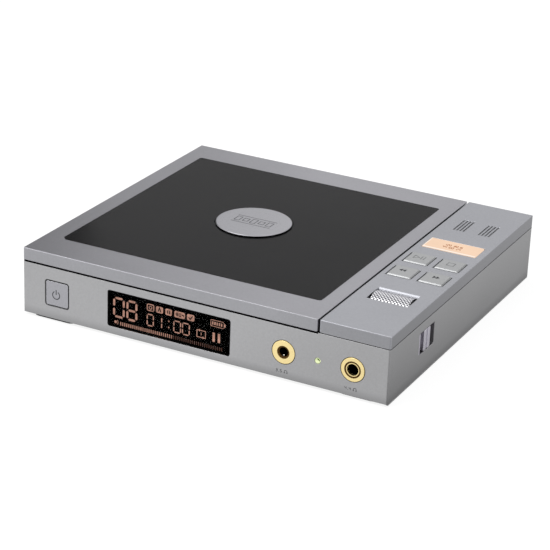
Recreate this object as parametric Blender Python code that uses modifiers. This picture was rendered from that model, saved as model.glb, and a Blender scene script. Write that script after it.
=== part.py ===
"""Portable disc player: a metal case with a hinged glass lid over the disc well.

Units are metres, +Z is up, +X is to the right and -Y is the front with the display.
The origin is on the table, under the middle of the player.
"""
import math

import bmesh
import bpy
from mathutils import Matrix, Vector

# Clearances shared by all pieces
FIT = 0.0003
OVERRUN = 0.002
WELD = 0.000001
MERGE = 0.00001

# Disc and its well
DISC_DIAMETER = 0.120
DISC_THICKNESS = 0.0012
DISC_HOLE = 0.015
DISC_CLEARANCE = 0.001
DISC_LIFT = 0.0022
DISC_SINK = 0.0027
WELL_WALL = 0.0012
WELL_GAP = 0.00045
WELL_STEPS = 84
FINGER_STEPS = 16
FINGER_RADIUS = 0.011
FINGER_BITE = 0.006
FINGER_ANGLE = math.radians(45)

# Case
CASE_WALL = 0.0024
CASE_EDGE = 0.0006
BAY_MARGIN = 0.0074
COVER_THICKNESS = 0.0015
COVER_LEDGE = 0.001
FOOT_STAND = 0.0012
PILLAR_RADIUS = 0.0026
PILLAR_INSET = 0.0024
PILLAR_END_INSET = 0.0165
DECK_PILLAR_FRONT = 0.0135
PILLAR_HEIGHT = 0.009
SUPPORT_RADIUS = 0.0026
SUPPORT_X = 0.0053
BOSS_RADIUS = 0.002
DIVIDER_WIDTH = 0.0038
DIVIDER_LAP = 0.0019
DIVIDER_DROP = 0.0074

# Lid and control deck
LID_HEIGHT = 0.0051
LID_GAP = 0.0008
LID_CHAMFER = 0.0003
DECK_WIDTH = 0.02915
DECK_GAP = 0.00075
DECK_SEAM = 0.0003
DECK_PLATE = 0.002
DECK_WALL = 0.0016
GLASS_SIDE_BAND = 0.0086
GLASS_RIGHT_BAND = 0.0067
GLASS_FRONT_BAND = 0.0157
GLASS_REAR_BAND = 0.0155
GLASS_THICKNESS = 0.0018
GLASS_LEDGE = 0.002
GLASS_CORNER = 0.0012
BADGE_DIAMETER = 0.032
BADGE_PROUD = 0.0008
BADGE_SUNK = 0.0003
BADGE_CHAMFER = 0.0005
LID_POCKET_DEPTH = 0.0022
BUMPER_RADIUS = 0.0025
BUMPER_SUNK = 0.0008
BUMPER_INSET = 0.008
BUMPER_SIDE_INSET = 0.01005
MAGNET_LENGTH = 0.016
MAGNET_WIDTH = 0.0032
MAGNET_HEIGHT = 0.0012
MAGNET_INSET = 0.006

# Hinge
HINGE_RADIUS = 0.003
HINGE_CLEARANCE = 0.0007
HINGE_PIN_RADIUS = 0.0008
HINGE_PIN_GRIP = 0.004
LUG_WIDTH = 0.009
LUG_GAP = 0.0004
LUG_LEFT_INSET = 0.018
LUG_RIGHT_INSET = 0.0181
LUG_REAR_STEP = 0.0018
FLANGE_WIDTH = 0.018
FLANGE_DEPTH = 0.011
FLANGE_THICKNESS = 0.0016
RAIL_DEPTH = 0.007
RAIL_WALL = 0.0012
RAIL_HEIGHT = 0.007

# Feet and screws
FOOT_LENGTH = 0.017
FOOT_WIDTH = 0.008
FOOT_CORNER = 0.0015
FOOT_SUNK = 0.0005
FOOT_SIDE_INSET = 0.0047
FOOT_FRONT_INSET = 0.0024
SCREW_RADIUS = 0.0009
SCREW_HEAD_RADIUS = 0.0017
SCREW_HEAD_HEIGHT = 0.001
SCREW_LENGTH = 0.0155
SCREW_STEPS = 12
PEG_RADIUS = 0.0009
PEG_REACH = 0.0006
PEG_STEPS = 10
RIVET_SPREAD = 0.0125

# Controls on the deck
DECK_LINE_SHIFT = 0.000125
PANEL_SIDE_BAND = 0.002825
WHEEL_SIDE_BAND = 0.005925
KEY_GAP_X = 0.0031
KEY_GAP_Y = 0.00555
BUTTON_CORNER = 0.0004
BUTTON_PROUD = 0.0005
BUTTON_CHAMFER = 0.0003
BUTTON_RIM = 0.0006
BUTTON_FLANGE = 0.0008
BUTTON_STROKE = 0.0005
BUTTON_SPARE = 0.0001
BUTTON_STEM = 0.0005
STEM_RADIUS = 0.0015
TACT_SIZE = 0.006
TACT_HEIGHT = 0.0048
TACT_PLUNGER = 0.0013
TACT_PLUNGER_RADIUS = 0.00175
PANEL_DEPTH = 0.0111
PANEL_RIM = 0.0007
PANEL_PROUD = 0.0001
PANEL_FLANGE = 0.001
GRILLE_SLOT_WIDTH = 0.0007
GRILLE_SLOT_LENGTH = 0.0126
GRILLE_PITCH = 0.0014
GRILLE_SLOTS = 4
GRILLE_SPREAD = 0.01105
GRILLE_MESH_RIM = 0.001
GRILLE_MESH_THICKNESS = 0.0005

# Shares of the deck's spare depth: in front of the wheel, the keys, the panel and the grille
WHEEL_ROOM_SHARE = 0.3388
KEYS_ROOM_SHARE = 0.1579
PANEL_ROOM_SHARE = 0.0953
GRILLE_ROOM_SHARE = 0.1548

# Volume wheel
WHEEL_RADIUS = 0.0068
WHEEL_PROUD = 0.0004
WHEEL_OFFSET = 0.0005
WHEEL_SLOT_DEPTH = 0.012
WHEEL_SLOT_CHAMFER = 0.0011
WHEEL_END_GAP = 0.0006
WHEEL_RELIEF = 0.0006
WHEEL_RIM = 0.0006
KNURL_DEPTH = 0.00045
KNURL_ROUND = 24
KNURL_ROWS = 6
AXLE_RADIUS = 0.0015
AXLE_END = 0.0028
ENCODER_HOUSING = 0.0034
ENCODER_CHEEK = 0.0019
ENCODER_HALF_DEPTH = 0.0044
ENCODER_BRIDGE = 0.0016

# Front and side face
FACE_LINE = 0.0108
POWER_INSET = 0.01575
POWER_SIZE = 0.0107
POWER_CORNER = 0.001
POWER_STROKE = 0.0005
DISPLAY_FROM_POWER = 0.02335
DISPLAY_TO_JACK = 0.0228
DISPLAY_HEIGHT = 0.0154
DISPLAY_CORNER = 0.001
DISPLAY_GLASS = 0.0012
DISPLAY_LEDGE = 0.001
DISPLAY_MODULE_DEPTH = 0.003
DISPLAY_BOARD = 0.001
JACK_FROM_STEP = 0.0136
JACK_RING_RADIUS = 0.005
JACK_RING_BORE = 0.0028
JACK_RING_PROUD = 0.0002
JACK_RING_DEPTH = 0.0026
JACK_BODY_WIDTH = 0.010
JACK_BODY_LENGTH = 0.0145
JACK_BORE = 0.00185
BALANCED_RING_RADIUS = 0.0051
BALANCED_RING_BORE = 0.0033
BALANCED_BODY_WIDTH = 0.010
BALANCED_BODY_LENGTH = 0.0165
BALANCED_BORE = 0.0023
JACK_END_WALL = 0.0015
JACK_STEPS = 32
LIGHT_RADIUS = 0.001
LIGHT_FROM_JACK = 0.0143
LIGHT_LENGTH = 0.0045
LIGHT_FLANGE = 0.0008
LIGHT_FLANGE_RADIUS = 0.0017
SELECTOR_Y = 0.03435
SELECTOR_SLOT = 0.0138
SELECTOR_HEIGHT = 0.0091
SELECTOR_CENTRE = 0.01385
SELECTOR_THUMB = 0.0057
SELECTOR_TRAVEL = 0.0035
SELECTOR_PLATE = 0.001
SELECTOR_LAP = 0.0012
SELECTOR_SINK = 0.0002
SELECTOR_GROOVE = 0.0012
SELECTOR_GROOVE_DEPTH = 0.0008
SELECTOR_BODY_LENGTH = 0.011
SELECTOR_BODY_DEPTH = 0.0048
SELECTOR_BODY_HEIGHT = 0.0084
SELECTOR_LEVER = 0.0012

# Boards and battery
BOARD_THICKNESS = 0.0012
BOARD_STANDOFF = 0.0016
BOARD_GEAR_GAP = 0.0079
BOARD_END_INSET = 0.012
STANDOFF_INSET = 0.010
STANDOFF_RADIUS = 0.0025
COMPONENT_ROOM = 0.0018
CHIP_HEIGHT = 0.0011
CONTROL_BOARD_MARGIN = 0.0015
CONTROL_POST_RADIUS = 0.0018
CONTROL_POST_INSET = 0.0027
POWER_BOARD_WIDTH = 0.016
POWER_BOARD_HEIGHT = 0.0155
GUIDE_BLOCK = 0.003
BATTERY_GAP = 0.0006
BATTERY_END_GAP = 0.0023
BATTERY_HEIGHT = 0.0046
BATTERY_LEFT = 0.0036
BATTERY_EDGE = 0.0012
USB_WIDTH = 0.0089
USB_HEIGHT = 0.0032
USB_LENGTH = 0.0088
USB_WALL = 0.0004
USB_TONGUE = 0.0007
USB_TONGUE_INSET = 0.0014
USB_TAB = 0.012
USB_TAB_REACH = 0.007

# Drive under the well
LENS_INNER_RADIUS = 0.023
LENS_EDGE = 0.003
LENS_RIM_RADIUS = 0.003
LENS_RADIUS = 0.0019
LENS_HEIGHT = 0.0009
SLOT_CLEARANCE = 0.0006
SLED_HEIGHT = 0.0035
SLED_TAIL = 0.013
SLED_NOSE = 0.0035
SLED_HALF_WIDTH = 0.013
TURRET_TAIL = 0.006
TURRET_HALF_WIDTH = 0.005
ROD_RADIUS = 0.001
ROD_SPREAD = 0.011
CLIP_LENGTH = 0.0025
CLIP_HALF_WIDTH = 0.002
CLIP_GAP = 0.001
CHASSIS_THICKNESS = 0.0012
CHASSIS_TAIL = 0.017
CHASSIS_FRONT = 0.0335
CHASSIS_REAR = 0.025
MOUNT_HEIGHT = 0.0027
MOUNT_RADIUS = 0.0024
MOUNT_LEFT_INSET = 0.0032
MOUNT_RIGHT_INSET = 0.016
MOUNT_FRONT_INSET = 0.0045
MOUNT_REAR_INSET = 0.004
STUD_RADIUS = 0.001
STUD_TAIL = 0.0008
SPINDLE_MOTOR_RADIUS = 0.0085
SPINDLE_MOTOR_HEIGHT = 0.0049
SPINDLE_SHAFT_RADIUS = 0.001
HUB_PLATFORM_RADIUS = 0.013
HUB_PLATFORM = 0.0016
HUB_SLEEVE_RADIUS = 0.003
HUB_NOSE_HEIGHT = 0.0036
HUB_NOSE_SLACK = 0.0003
HUB_CHAMFER = 0.001
HUB_CATCHES = 3
CATCH_RADIUS = 0.0012
CATCH_LIFT = 0.0003
CATCH_PROUD = 0.0003

# Gear train from the feed motor to the sled's rack
GEAR_MODULE = 0.0005
PRESSURE_ANGLE = math.radians(20)
ADDENDUM_SHARE = 0.8
DEDENDUM_SHARE = 1.1
TOOTH_THINNING = 0.00006
MESH_EASE = 0.00005
SMALL_GEAR_TEETH = 14
LARGE_GEAR_TEETH = 36
PINION_TEETH = 12
LARGE_GEAR_WIDTH = 0.0013
GEAR_SINK = 0.0004
RACK_HEIGHT = 0.002
RACK_BACK = 0.0014
RACK_END = 0.0025
GEAR_PIN_RADIUS = 0.00075
FEED_MOTOR_RADIUS = 0.006
FEED_MOTOR_SHAFT = 0.0006
FEED_MOTOR_CLEARANCE = 0.0003
PINION_ANGLE = math.radians(217)

# Plan of the player, worked out from the disc
WELL_RADIUS = DISC_DIAMETER / 2 + DISC_CLEARANCE
WELL_OUTER = WELL_RADIUS + WELL_WALL
LID_WIDTH = 2 * (WELL_OUTER + WELL_GAP + CASE_WALL)
CASE_WIDTH = LID_WIDTH + DECK_GAP + DECK_WIDTH
CASE_DEPTH = 2 * (WELL_OUTER + BAY_MARGIN + CASE_WALL)
LEFT = -CASE_WIDTH / 2
RIGHT = CASE_WIDTH / 2
FRONT = -CASE_DEPTH / 2
REAR = CASE_DEPTH / 2
LID_RIGHT = LEFT + LID_WIDTH
DECK_LEFT = LID_RIGHT + DECK_GAP
STEP_X = (LID_RIGHT + DECK_LEFT) / 2
HUB_X = LEFT + LID_WIDTH / 2
DECK_LINE = (DECK_LEFT + RIGHT) / 2 - DECK_LINE_SHIFT
INNER_LEFT = LEFT + CASE_WALL
INNER_RIGHT = RIGHT - CASE_WALL
INNER_FRONT = FRONT + CASE_WALL
INNER_REAR = REAR - CASE_WALL
DIVIDER_LEFT = LID_RIGHT - DIVIDER_LAP
DIVIDER_RIGHT = DIVIDER_LEFT + DIVIDER_WIDTH
RAIL_FACE = REAR - RAIL_DEPTH

# Levels of the player, stacked up from the table
CASE_BASE = FOOT_STAND
COVER_TOP = CASE_BASE + COVER_THICKNESS
WALL_BASE = COVER_TOP + FIT
BOARD_BASE = COVER_TOP + BOARD_STANDOFF + FIT
BOARD_TOP = BOARD_BASE + BOARD_THICKNESS
SLED_BASE = BOARD_TOP + COMPONENT_ROOM
SLED_TOP = SLED_BASE + SLED_HEIGHT
ROD_LEVEL = SLED_BASE + SLED_HEIGHT / 2
CHASSIS_BASE = SLED_TOP + FIT
CHASSIS_TOP = CHASSIS_BASE + CHASSIS_THICKNESS
WELL_BASE = CHASSIS_TOP + FIT + MOUNT_HEIGHT
WELL_FLOOR = WELL_BASE + WELL_WALL
DISC_SEAT = WELL_FLOOR + DISC_LIFT
DISC_TOP = DISC_SEAT + DISC_THICKNESS
CASE_RIM = DISC_TOP + DISC_SINK
TRAY_UNDER = CASE_RIM - DECK_PLATE
LID_BASE = CASE_RIM + LID_GAP
LID_TOP = LID_BASE + LID_HEIGHT
DECK_UNDER = LID_TOP - DECK_PLATE
DECK_SHELF = LID_BASE - DECK_SEAM
FACE_LEVEL = CASE_BASE + FACE_LINE
GLASS_BASE = LID_TOP - GLASS_THICKNESS
LEDGE_TOP = GLASS_BASE - FIT
POCKET_TOP = LID_BASE + LID_POCKET_DEPTH

# Hinge axis, one radius in from the case's rear top edge
HINGE_Y = REAR - HINGE_RADIUS
HINGE_LEVEL = CASE_RIM - HINGE_RADIUS
BARREL_RADIUS = HINGE_RADIUS - HINGE_CLEARANCE
LUG_CENTRES = (LEFT + LUG_LEFT_INSET, LID_RIGHT - LUG_RIGHT_INSET)

# Places of the lens, sled and gears
LENS_X = HUB_X + LENS_INNER_RADIUS
LENS_OUTER_RADIUS = DISC_DIAMETER / 2 - LENS_EDGE
LENS_TRAVEL = LENS_OUTER_RADIUS - LENS_INNER_RADIUS
RACK_RIGHT = LENS_X + SLED_NOSE
RACK_LEFT = RACK_RIGHT - LENS_TRAVEL - 2 * RACK_END
GEAR_X = RACK_RIGHT - RACK_END
RACK_ROOT = -(SLED_HALF_WIDTH + FIT + RACK_BACK)
RACK_PITCH_LINE = RACK_ROOT - DEDENDUM_SHARE * GEAR_MODULE
SMALL_GEAR_RADIUS = SMALL_GEAR_TEETH * GEAR_MODULE / 2
LARGE_GEAR_RADIUS = LARGE_GEAR_TEETH * GEAR_MODULE / 2
PINION_RADIUS = PINION_TEETH * GEAR_MODULE / 2
GEAR_Y = RACK_PITCH_LINE - SMALL_GEAR_RADIUS - MESH_EASE
LARGE_GEAR_TOP = SLED_BASE - GEAR_SINK
LARGE_GEAR_BASE = LARGE_GEAR_TOP - LARGE_GEAR_WIDTH
PINION_REACH = LARGE_GEAR_RADIUS + PINION_RADIUS + MESH_EASE
PINION_X = GEAR_X + PINION_REACH * math.cos(PINION_ANGLE)
PINION_Y = GEAR_Y + PINION_REACH * math.sin(PINION_ANGLE)
CHASSIS_LEFT = HUB_X - CHASSIS_TAIL
CHASSIS_RIGHT = LENS_X + LENS_TRAVEL + SLED_NOSE + CLIP_GAP + CLIP_LENGTH

# Places of the controls, one after the other from the front of the deck
PANEL_WIDTH = DECK_WIDTH - 2 * PANEL_SIDE_BAND
WHEEL_SLOT_WIDTH = DECK_WIDTH - 2 * WHEEL_SIDE_BAND
BUTTON_SIZE = (PANEL_WIDTH - KEY_GAP_X) / 2
BUTTON_PITCH_X = BUTTON_SIZE + KEY_GAP_X
KEYS_DEPTH = 2 * BUTTON_SIZE + KEY_GAP_Y
SPARE_DEPTH = CASE_DEPTH - WHEEL_SLOT_DEPTH - KEYS_DEPTH - PANEL_DEPTH - GRILLE_SLOT_LENGTH
WHEEL_SLOT_FRONT = FRONT + SPARE_DEPTH * WHEEL_ROOM_SHARE
WHEEL_SLOT_REAR = WHEEL_SLOT_FRONT + WHEEL_SLOT_DEPTH
KEYS_FRONT = WHEEL_SLOT_REAR + SPARE_DEPTH * KEYS_ROOM_SHARE
KEYS_REAR = KEYS_FRONT + KEYS_DEPTH
PANEL_FRONT = KEYS_REAR + SPARE_DEPTH * PANEL_ROOM_SHARE
PANEL_REAR = PANEL_FRONT + PANEL_DEPTH
GRILLE_FRONT = PANEL_REAR + SPARE_DEPTH * GRILLE_ROOM_SHARE
PANEL_PLACE = (DECK_LINE, (PANEL_FRONT + PANEL_REAR) / 2)
GRILLE_PLACE = (DECK_LINE, GRILLE_FRONT + GRILLE_SLOT_LENGTH / 2)
ROW_LEVELS = (KEYS_FRONT + BUTTON_SIZE / 2, KEYS_REAR - BUTTON_SIZE / 2)
BUTTON_PLACES = {
    "previous_button": (DECK_LINE - BUTTON_PITCH_X / 2, ROW_LEVELS[0]),
    "next_button": (DECK_LINE + BUTTON_PITCH_X / 2, ROW_LEVELS[0]),
    "play_pause_button": (DECK_LINE - BUTTON_PITCH_X / 2, ROW_LEVELS[1]),
    "stop_button": (DECK_LINE + BUTTON_PITCH_X / 2, ROW_LEVELS[1]),
}
FLANGE_TOP = DECK_UNDER - FIT
FLANGE_BASE = FLANGE_TOP - BUTTON_FLANGE
STEM_BASE = FLANGE_BASE - BUTTON_STEM
TACT_TOP = STEM_BASE - BUTTON_STROKE - BUTTON_SPARE
CONTROL_BOARD_TOP = TACT_TOP - TACT_HEIGHT
CONTROL_BOARD_BASE = CONTROL_BOARD_TOP - BOARD_THICKNESS
WHEEL_Y = (WHEEL_SLOT_FRONT + WHEEL_SLOT_REAR) / 2 + WHEEL_OFFSET
WHEEL_LEVEL = LID_TOP + WHEEL_PROUD - WHEEL_RADIUS
WHEEL_HALF = WHEEL_SLOT_WIDTH / 2 - WHEEL_END_GAP
WHEEL_CLEAR = WHEEL_RADIUS + WHEEL_RELIEF
ENCODER_FRONT = WHEEL_Y - WHEEL_CLEAR - ENCODER_BRIDGE
POWER_X = LEFT + POWER_INSET
POWER_FACE = INNER_FRONT + FIT
POWER_STEM_END = POWER_FACE + BUTTON_FLANGE + BUTTON_STEM
POWER_TACT_TIP = POWER_STEM_END + POWER_STROKE + BUTTON_SPARE
POWER_BOARD_FRONT = POWER_TACT_TIP + TACT_HEIGHT
JACK_X = LID_RIGHT - JACK_FROM_STEP
DISPLAY_LEFT = POWER_X + DISPLAY_FROM_POWER
DISPLAY_RIGHT = JACK_X - DISPLAY_TO_JACK
DISPLAY_WIDTH = DISPLAY_RIGHT - DISPLAY_LEFT
DISPLAY_X = (DISPLAY_LEFT + DISPLAY_RIGHT) / 2
LIGHT_X = JACK_X + LIGHT_FROM_JACK
SELECTOR_CENTRE_Y = FRONT + SELECTOR_Y
SELECTOR_LEVEL = CASE_BASE + SELECTOR_CENTRE - SELECTOR_SINK
USB_LEVEL = BOARD_TOP + FIT + USB_HEIGHT / 2

PILLAR_TOP = WALL_BASE + PILLAR_HEIGHT
TRAY_PILLARS = [(INNER_LEFT + PILLAR_INSET, y)
                for y in (FRONT + PILLAR_END_INSET, REAR - PILLAR_END_INSET)]
DECK_PILLARS = [(INNER_RIGHT - PILLAR_INSET, y)
                for y in (FRONT + DECK_PILLAR_FRONT, (PANEL_REAR + GRILLE_FRONT) / 2)]
PILLARS = TRAY_PILLARS + DECK_PILLARS
SUPPORTS = [(LID_RIGHT - SUPPORT_X, INNER_FRONT + SUPPORT_RADIUS - FIT),
            (LID_RIGHT - SUPPORT_X, RAIL_FACE - SUPPORT_RADIUS + FIT)]
CONTROL_BOARD_RIGHT = INNER_RIGHT - SELECTOR_PLATE - 2 * FIT
CONTROL_POST_SPREAD = CONTROL_BOARD_RIGHT - CONTROL_POST_INSET - DECK_LINE
CONTROL_POSTS = [(DECK_LINE + side * CONTROL_POST_SPREAD, y) for side in (-1, 1)
                 for y in ((WHEEL_Y + WHEEL_CLEAR + KEYS_FRONT) / 2, (KEYS_REAR + PANEL_FRONT) / 2)]
BOARD_X = (GEAR_X + LARGE_GEAR_RADIUS + BOARD_GEAR_GAP, INNER_RIGHT - FIT)
BOARD_HALF_DEPTH = CASE_DEPTH / 2 - BOARD_END_INSET
STANDOFFS = [(x, side * (BOARD_HALF_DEPTH - STANDOFF_INSET))
             for x in (BOARD_X[0] + STANDOFF_INSET / 2, BOARD_X[1] - STANDOFF_INSET)
             for side in (-1, 1)]
CHASSIS_MOUNTS = [(x, y) for x in (CHASSIS_LEFT + MOUNT_LEFT_INSET, CHASSIS_RIGHT - MOUNT_RIGHT_INSET)
                  for y in (MOUNT_FRONT_INSET - CHASSIS_FRONT, CHASSIS_REAR - MOUNT_REAR_INSET)]

# Finishes as colour, metallic and roughness
FINISHES = {
    "anodised": ((0.34, 0.35, 0.37), 0.85, 0.38),
    "anodised_light": ((0.40, 0.41, 0.43), 0.85, 0.35),
    "smoked_glass": ((0.02, 0.02, 0.025), 0.0, 0.08),
    "badge_metal": ((0.50, 0.50, 0.52), 0.9, 0.3),
    "black_plastic": ((0.02, 0.02, 0.022), 0.0, 0.45),
    "grey_plastic": ((0.12, 0.12, 0.13), 0.0, 0.5),
    "rubber": ((0.015, 0.015, 0.015), 0.0, 0.8),
    "steel": ((0.55, 0.55, 0.56), 1.0, 0.3),
    "gold": ((0.85, 0.62, 0.25), 1.0, 0.25),
    "lit_label": ((0.95, 0.62, 0.45), 0.0, 0.4),
    "lit_green": ((0.55, 0.85, 0.15), 0.0, 0.3),
    "board_green": ((0.02, 0.12, 0.06), 0.0, 0.5),
    "cell_wrap": ((0.05, 0.09, 0.25), 0.0, 0.4),
    "lens_glass": ((0.15, 0.2, 0.5), 0.0, 0.05),
    "gear_nylon": ((0.8, 0.8, 0.76), 0.0, 0.5),
    "brass": ((0.7, 0.5, 0.2), 1.0, 0.3),
}


# Scene and collections

def fresh_collections():
    """Empty the scene and make one collection for the player and one for its cutters."""
    for old in list(bpy.data.objects):
        bpy.data.objects.remove(old, do_unlink=True)
    made = []
    for name in ("portable_cd_player", "cutters"):
        collection = bpy.data.collections.new(name)
        bpy.context.scene.collection.children.link(collection)
        made.append(collection)
    return made


PLAYER, CUTTERS = fresh_collections()


def paint(thing, finish):
    """Give a piece its own material."""
    colour, metallic, roughness = FINISHES[finish]
    material = bpy.data.materials.new(thing.name)
    material.use_nodes = True
    shader = material.node_tree.nodes["Principled BSDF"]
    shader.inputs["Base Color"].default_value = (*colour, 1)
    shader.inputs["Metallic"].default_value = metallic
    shader.inputs["Roughness"].default_value = roughness
    thing.data.materials.clear()
    thing.data.materials.append(material)
    return thing


# Outlines in the drawing plane

def arc(centre, radius, start, end, steps):
    """Points along an arc, both ends included, with angles in radians."""
    return [(centre[0] + radius * math.cos(start + (end - start) * i / steps),
             centre[1] + radius * math.sin(start + (end - start) * i / steps))
            for i in range(steps + 1)]


def circle(centre, radius, steps=24):
    return arc(centre, radius, 0, math.tau, steps)[:-1]


def rectangle(low, high):
    return [low, (high[0], low[1]), high, (low[0], high[1])]


def rounded(centre, width, height, corner, steps=3):
    """A rectangle about a centre, with round corners."""
    reach_u, reach_v = width / 2 - corner, height / 2 - corner
    points = []
    for quarter, (u, v) in enumerate(((1, 1), (-1, 1), (-1, -1), (1, -1))):
        turn = math.pi / 2
        middle = (centre[0] + u * reach_u, centre[1] + v * reach_v)
        points += arc(middle, corner, quarter * turn, (quarter + 1) * turn, steps)
    return points


def involute(angle):
    return math.tan(angle) - angle


def gear_outline(teeth, first_tooth):
    """Outline of a spur gear about its own centre, with a tooth at the given angle."""
    pitch = teeth * GEAR_MODULE / 2
    base = pitch * math.cos(PRESSURE_ANGLE)
    root = pitch - DEDENDUM_SHARE * GEAR_MODULE
    tip = pitch + ADDENDUM_SHARE * GEAR_MODULE
    half_tooth = math.pi / (2 * teeth) - TOOTH_THINNING / pitch

    def half_width(radius):
        open_angle = math.acos(min(1, base / max(radius, base)))
        return half_tooth + involute(PRESSURE_ANGLE) - involute(open_angle)

    radii = (root, pitch, tip)
    points = []
    for tooth in range(teeth):
        middle = first_tooth + math.tau * tooth / teeth
        flank = [(radius, -half_width(radius)) for radius in radii]
        flank += [(radius, half_width(radius)) for radius in reversed(radii)]
        points += [(radius * math.cos(middle + turn), radius * math.sin(middle + turn))
                   for radius, turn in flank]
    return points


def rack_outline():
    """Rack teeth facing the front, with a gap between two teeth at the gear's place."""
    pitch = math.pi * GEAR_MODULE
    tip = RACK_PITCH_LINE - ADDENDUM_SHARE * GEAR_MODULE
    slope = math.tan(PRESSURE_ANGLE)
    half = pitch / 4 - TOOTH_THINNING
    root_half = half + (RACK_ROOT - RACK_PITCH_LINE) * slope
    tip_half = half - (RACK_PITCH_LINE - tip) * slope
    points = [(RACK_RIGHT, RACK_ROOT + RACK_BACK), (RACK_LEFT, RACK_ROOT + RACK_BACK),
              (RACK_LEFT, RACK_ROOT)]
    first = math.ceil((RACK_LEFT + root_half - GEAR_X) / pitch - 1 / 2)
    last = math.floor((RACK_RIGHT - root_half - GEAR_X) / pitch - 1 / 2)
    for tooth in range(first, last + 1):
        middle = GEAR_X + (tooth + 1 / 2) * pitch
        points += [(middle - root_half, RACK_ROOT), (middle - tip_half, tip),
                   (middle + tip_half, tip), (middle + root_half, RACK_ROOT)]
    return points + [(RACK_RIGHT, RACK_ROOT)]


# Solids

def facing(axis):
    """Matrix that stands the drawing plane square to an axis of the player."""
    if axis == "Y":
        return Matrix.Rotation(math.pi / 2, 4, "X")
    if axis == "X":
        return Matrix(((0, 0, 1, 0), (1, 0, 0, 0), (0, 1, 0, 0), (0, 0, 0, 1)))
    return Matrix.Identity(4)


def evaluated_mesh(thing):
    """The mesh of an object with its curve or modifiers worked out."""
    bpy.context.view_layer.update()
    ready = thing.evaluated_get(bpy.context.evaluated_depsgraph_get())
    return bpy.data.meshes.new_from_object(ready)


def plate(name, outlines, low, high, axis="Z"):
    """A flat outline, with any holes, made solid from low to high along an axis."""
    drawing = bpy.data.curves.new(name, "CURVE")
    drawing.dimensions = "2D"
    drawing.fill_mode = "BOTH"
    drawing.extrude = (high - low) / 2
    for outline in outlines:
        line = drawing.splines.new("POLY")
        line.points.add(len(outline) - 1)
        for point, (u, v) in zip(line.points, outline):
            point.co = (u, v, 0, 1)
        line.use_cyclic_u = True
    flat = bpy.data.objects.new(name + "_outline", drawing)
    PLAYER.objects.link(flat)
    mesh = evaluated_mesh(flat)
    bpy.data.objects.remove(flat, do_unlink=True)
    work = bmesh.new()
    work.from_mesh(mesh)
    bmesh.ops.remove_doubles(work, verts=work.verts, dist=WELD)
    bmesh.ops.recalc_face_normals(work, faces=work.faces)
    work.to_mesh(mesh)
    work.free()
    middle = {"X": Vector((1, 0, 0)), "Y": Vector((0, 1, 0)), "Z": Vector((0, 0, 1))}[axis]
    solid = bpy.data.objects.new(name, mesh)
    solid.matrix_world = Matrix.Translation(middle * (low + high) / 2) @ facing(axis)
    PLAYER.objects.link(solid)
    return solid


def block(name, low, high):
    """A plain box between two corners."""
    low, high = Vector(low), Vector(high)
    work = bmesh.new()
    bmesh.ops.create_cube(work, size=1, matrix=Matrix.Diagonal((*(high - low), 1)))
    mesh = bpy.data.meshes.new(name)
    work.to_mesh(mesh)
    work.free()
    solid = bpy.data.objects.new(name, mesh)
    solid.location = (low + high) / 2
    PLAYER.objects.link(solid)
    return solid


def turned(name, profile, place, axis="Z", steps=24, closed=False):
    """A profile of (radius, height) points, top to bottom, turned about an axis."""
    mesh = bpy.data.meshes.new(name)
    last = len(profile) if closed else len(profile) - 1
    mesh.from_pydata([(radius, 0, height) for radius, height in profile],
                     [(i, (i + 1) % len(profile)) for i in range(last)], [])
    solid = bpy.data.objects.new(name, mesh)
    solid.matrix_world = Matrix.Translation(Vector(place)) @ facing(axis)
    PLAYER.objects.link(solid)
    screw = solid.modifiers.new("Turn", "SCREW")
    screw.steps = screw.render_steps = steps
    screw.use_merge_vertices = True
    screw.merge_threshold = MERGE
    screw.use_smooth_shade = True
    return solid


def rod(name, place, radius, low, high, axis="Z", steps=24):
    """A plain round bar; low and high are measured from its place along the axis."""
    return turned(name, [(0, high), (radius, high), (radius, low), (0, low)], place, axis, steps)


def repeated(name, pattern, places):
    """Copies of one solid at several offsets, kept together in one object."""
    mesh = evaluated_mesh(pattern)
    mesh.transform(pattern.matrix_world)
    bpy.data.objects.remove(pattern, do_unlink=True)
    work = bmesh.new()
    for offset in places:
        before = len(work.verts)
        work.from_mesh(mesh)
        work.verts.ensure_lookup_table()
        bmesh.ops.translate(work, vec=Vector(offset), verts=work.verts[before:])
    together = bpy.data.meshes.new(name)
    work.to_mesh(together)
    work.free()
    group = bpy.data.objects.new(name, together)
    PLAYER.objects.link(group)
    return group


def set_origin(thing, point):
    """Move an object's origin to a point without moving the object."""
    bpy.context.view_layer.update()
    shift = thing.matrix_world.inverted() @ Vector(point)
    thing.data.transform(Matrix.Translation(-shift))
    thing.location = Vector(point)
    return thing


def bevel(thing, widths):
    """Bevel chosen edges: each entry is a width, its segments and a test on the edge's ends."""
    marks = thing.data.attributes.new("bevel_weight_edge", "FLOAT", "EDGE")
    widest = max(width for width, test in widths)
    for edge in thing.data.edges:
        a, b = (thing.data.vertices[i].co for i in edge.vertices)
        for width, test in widths:
            if test(a, b):
                marks.data[edge.index].value = width / widest
    modifier = thing.modifiers.new("Edges", "BEVEL")
    modifier.limit_method = "WEIGHT"
    modifier.width = widest
    modifier.segments = 2
    return thing


def is_upright(a, b):
    return abs(a.z - b.z) > max(abs(a.x - b.x), abs(a.y - b.y))


def is_top(a, b):
    return a.z > 0 and b.z > 0 and not is_upright(a, b)


def helper(thing):
    """Put a cutting or joining solid with the cutters."""
    PLAYER.objects.unlink(thing)
    CUTTERS.objects.link(thing)
    thing.hide_render = True
    thing.display_type = "WIRE"
    return thing


def boolean(thing, other, operation):
    step = thing.modifiers.new(other.name, "BOOLEAN")
    step.operation = operation
    step.solver = "EXACT"
    step.object = helper(other)
    return thing


def cut(thing, *cutters):
    for cutter in cutters:
        boolean(thing, cutter, "DIFFERENCE")
    return thing


def fuse(thing, *additions):
    for addition in additions:
        boolean(thing, addition, "UNION")
    return thing


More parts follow.
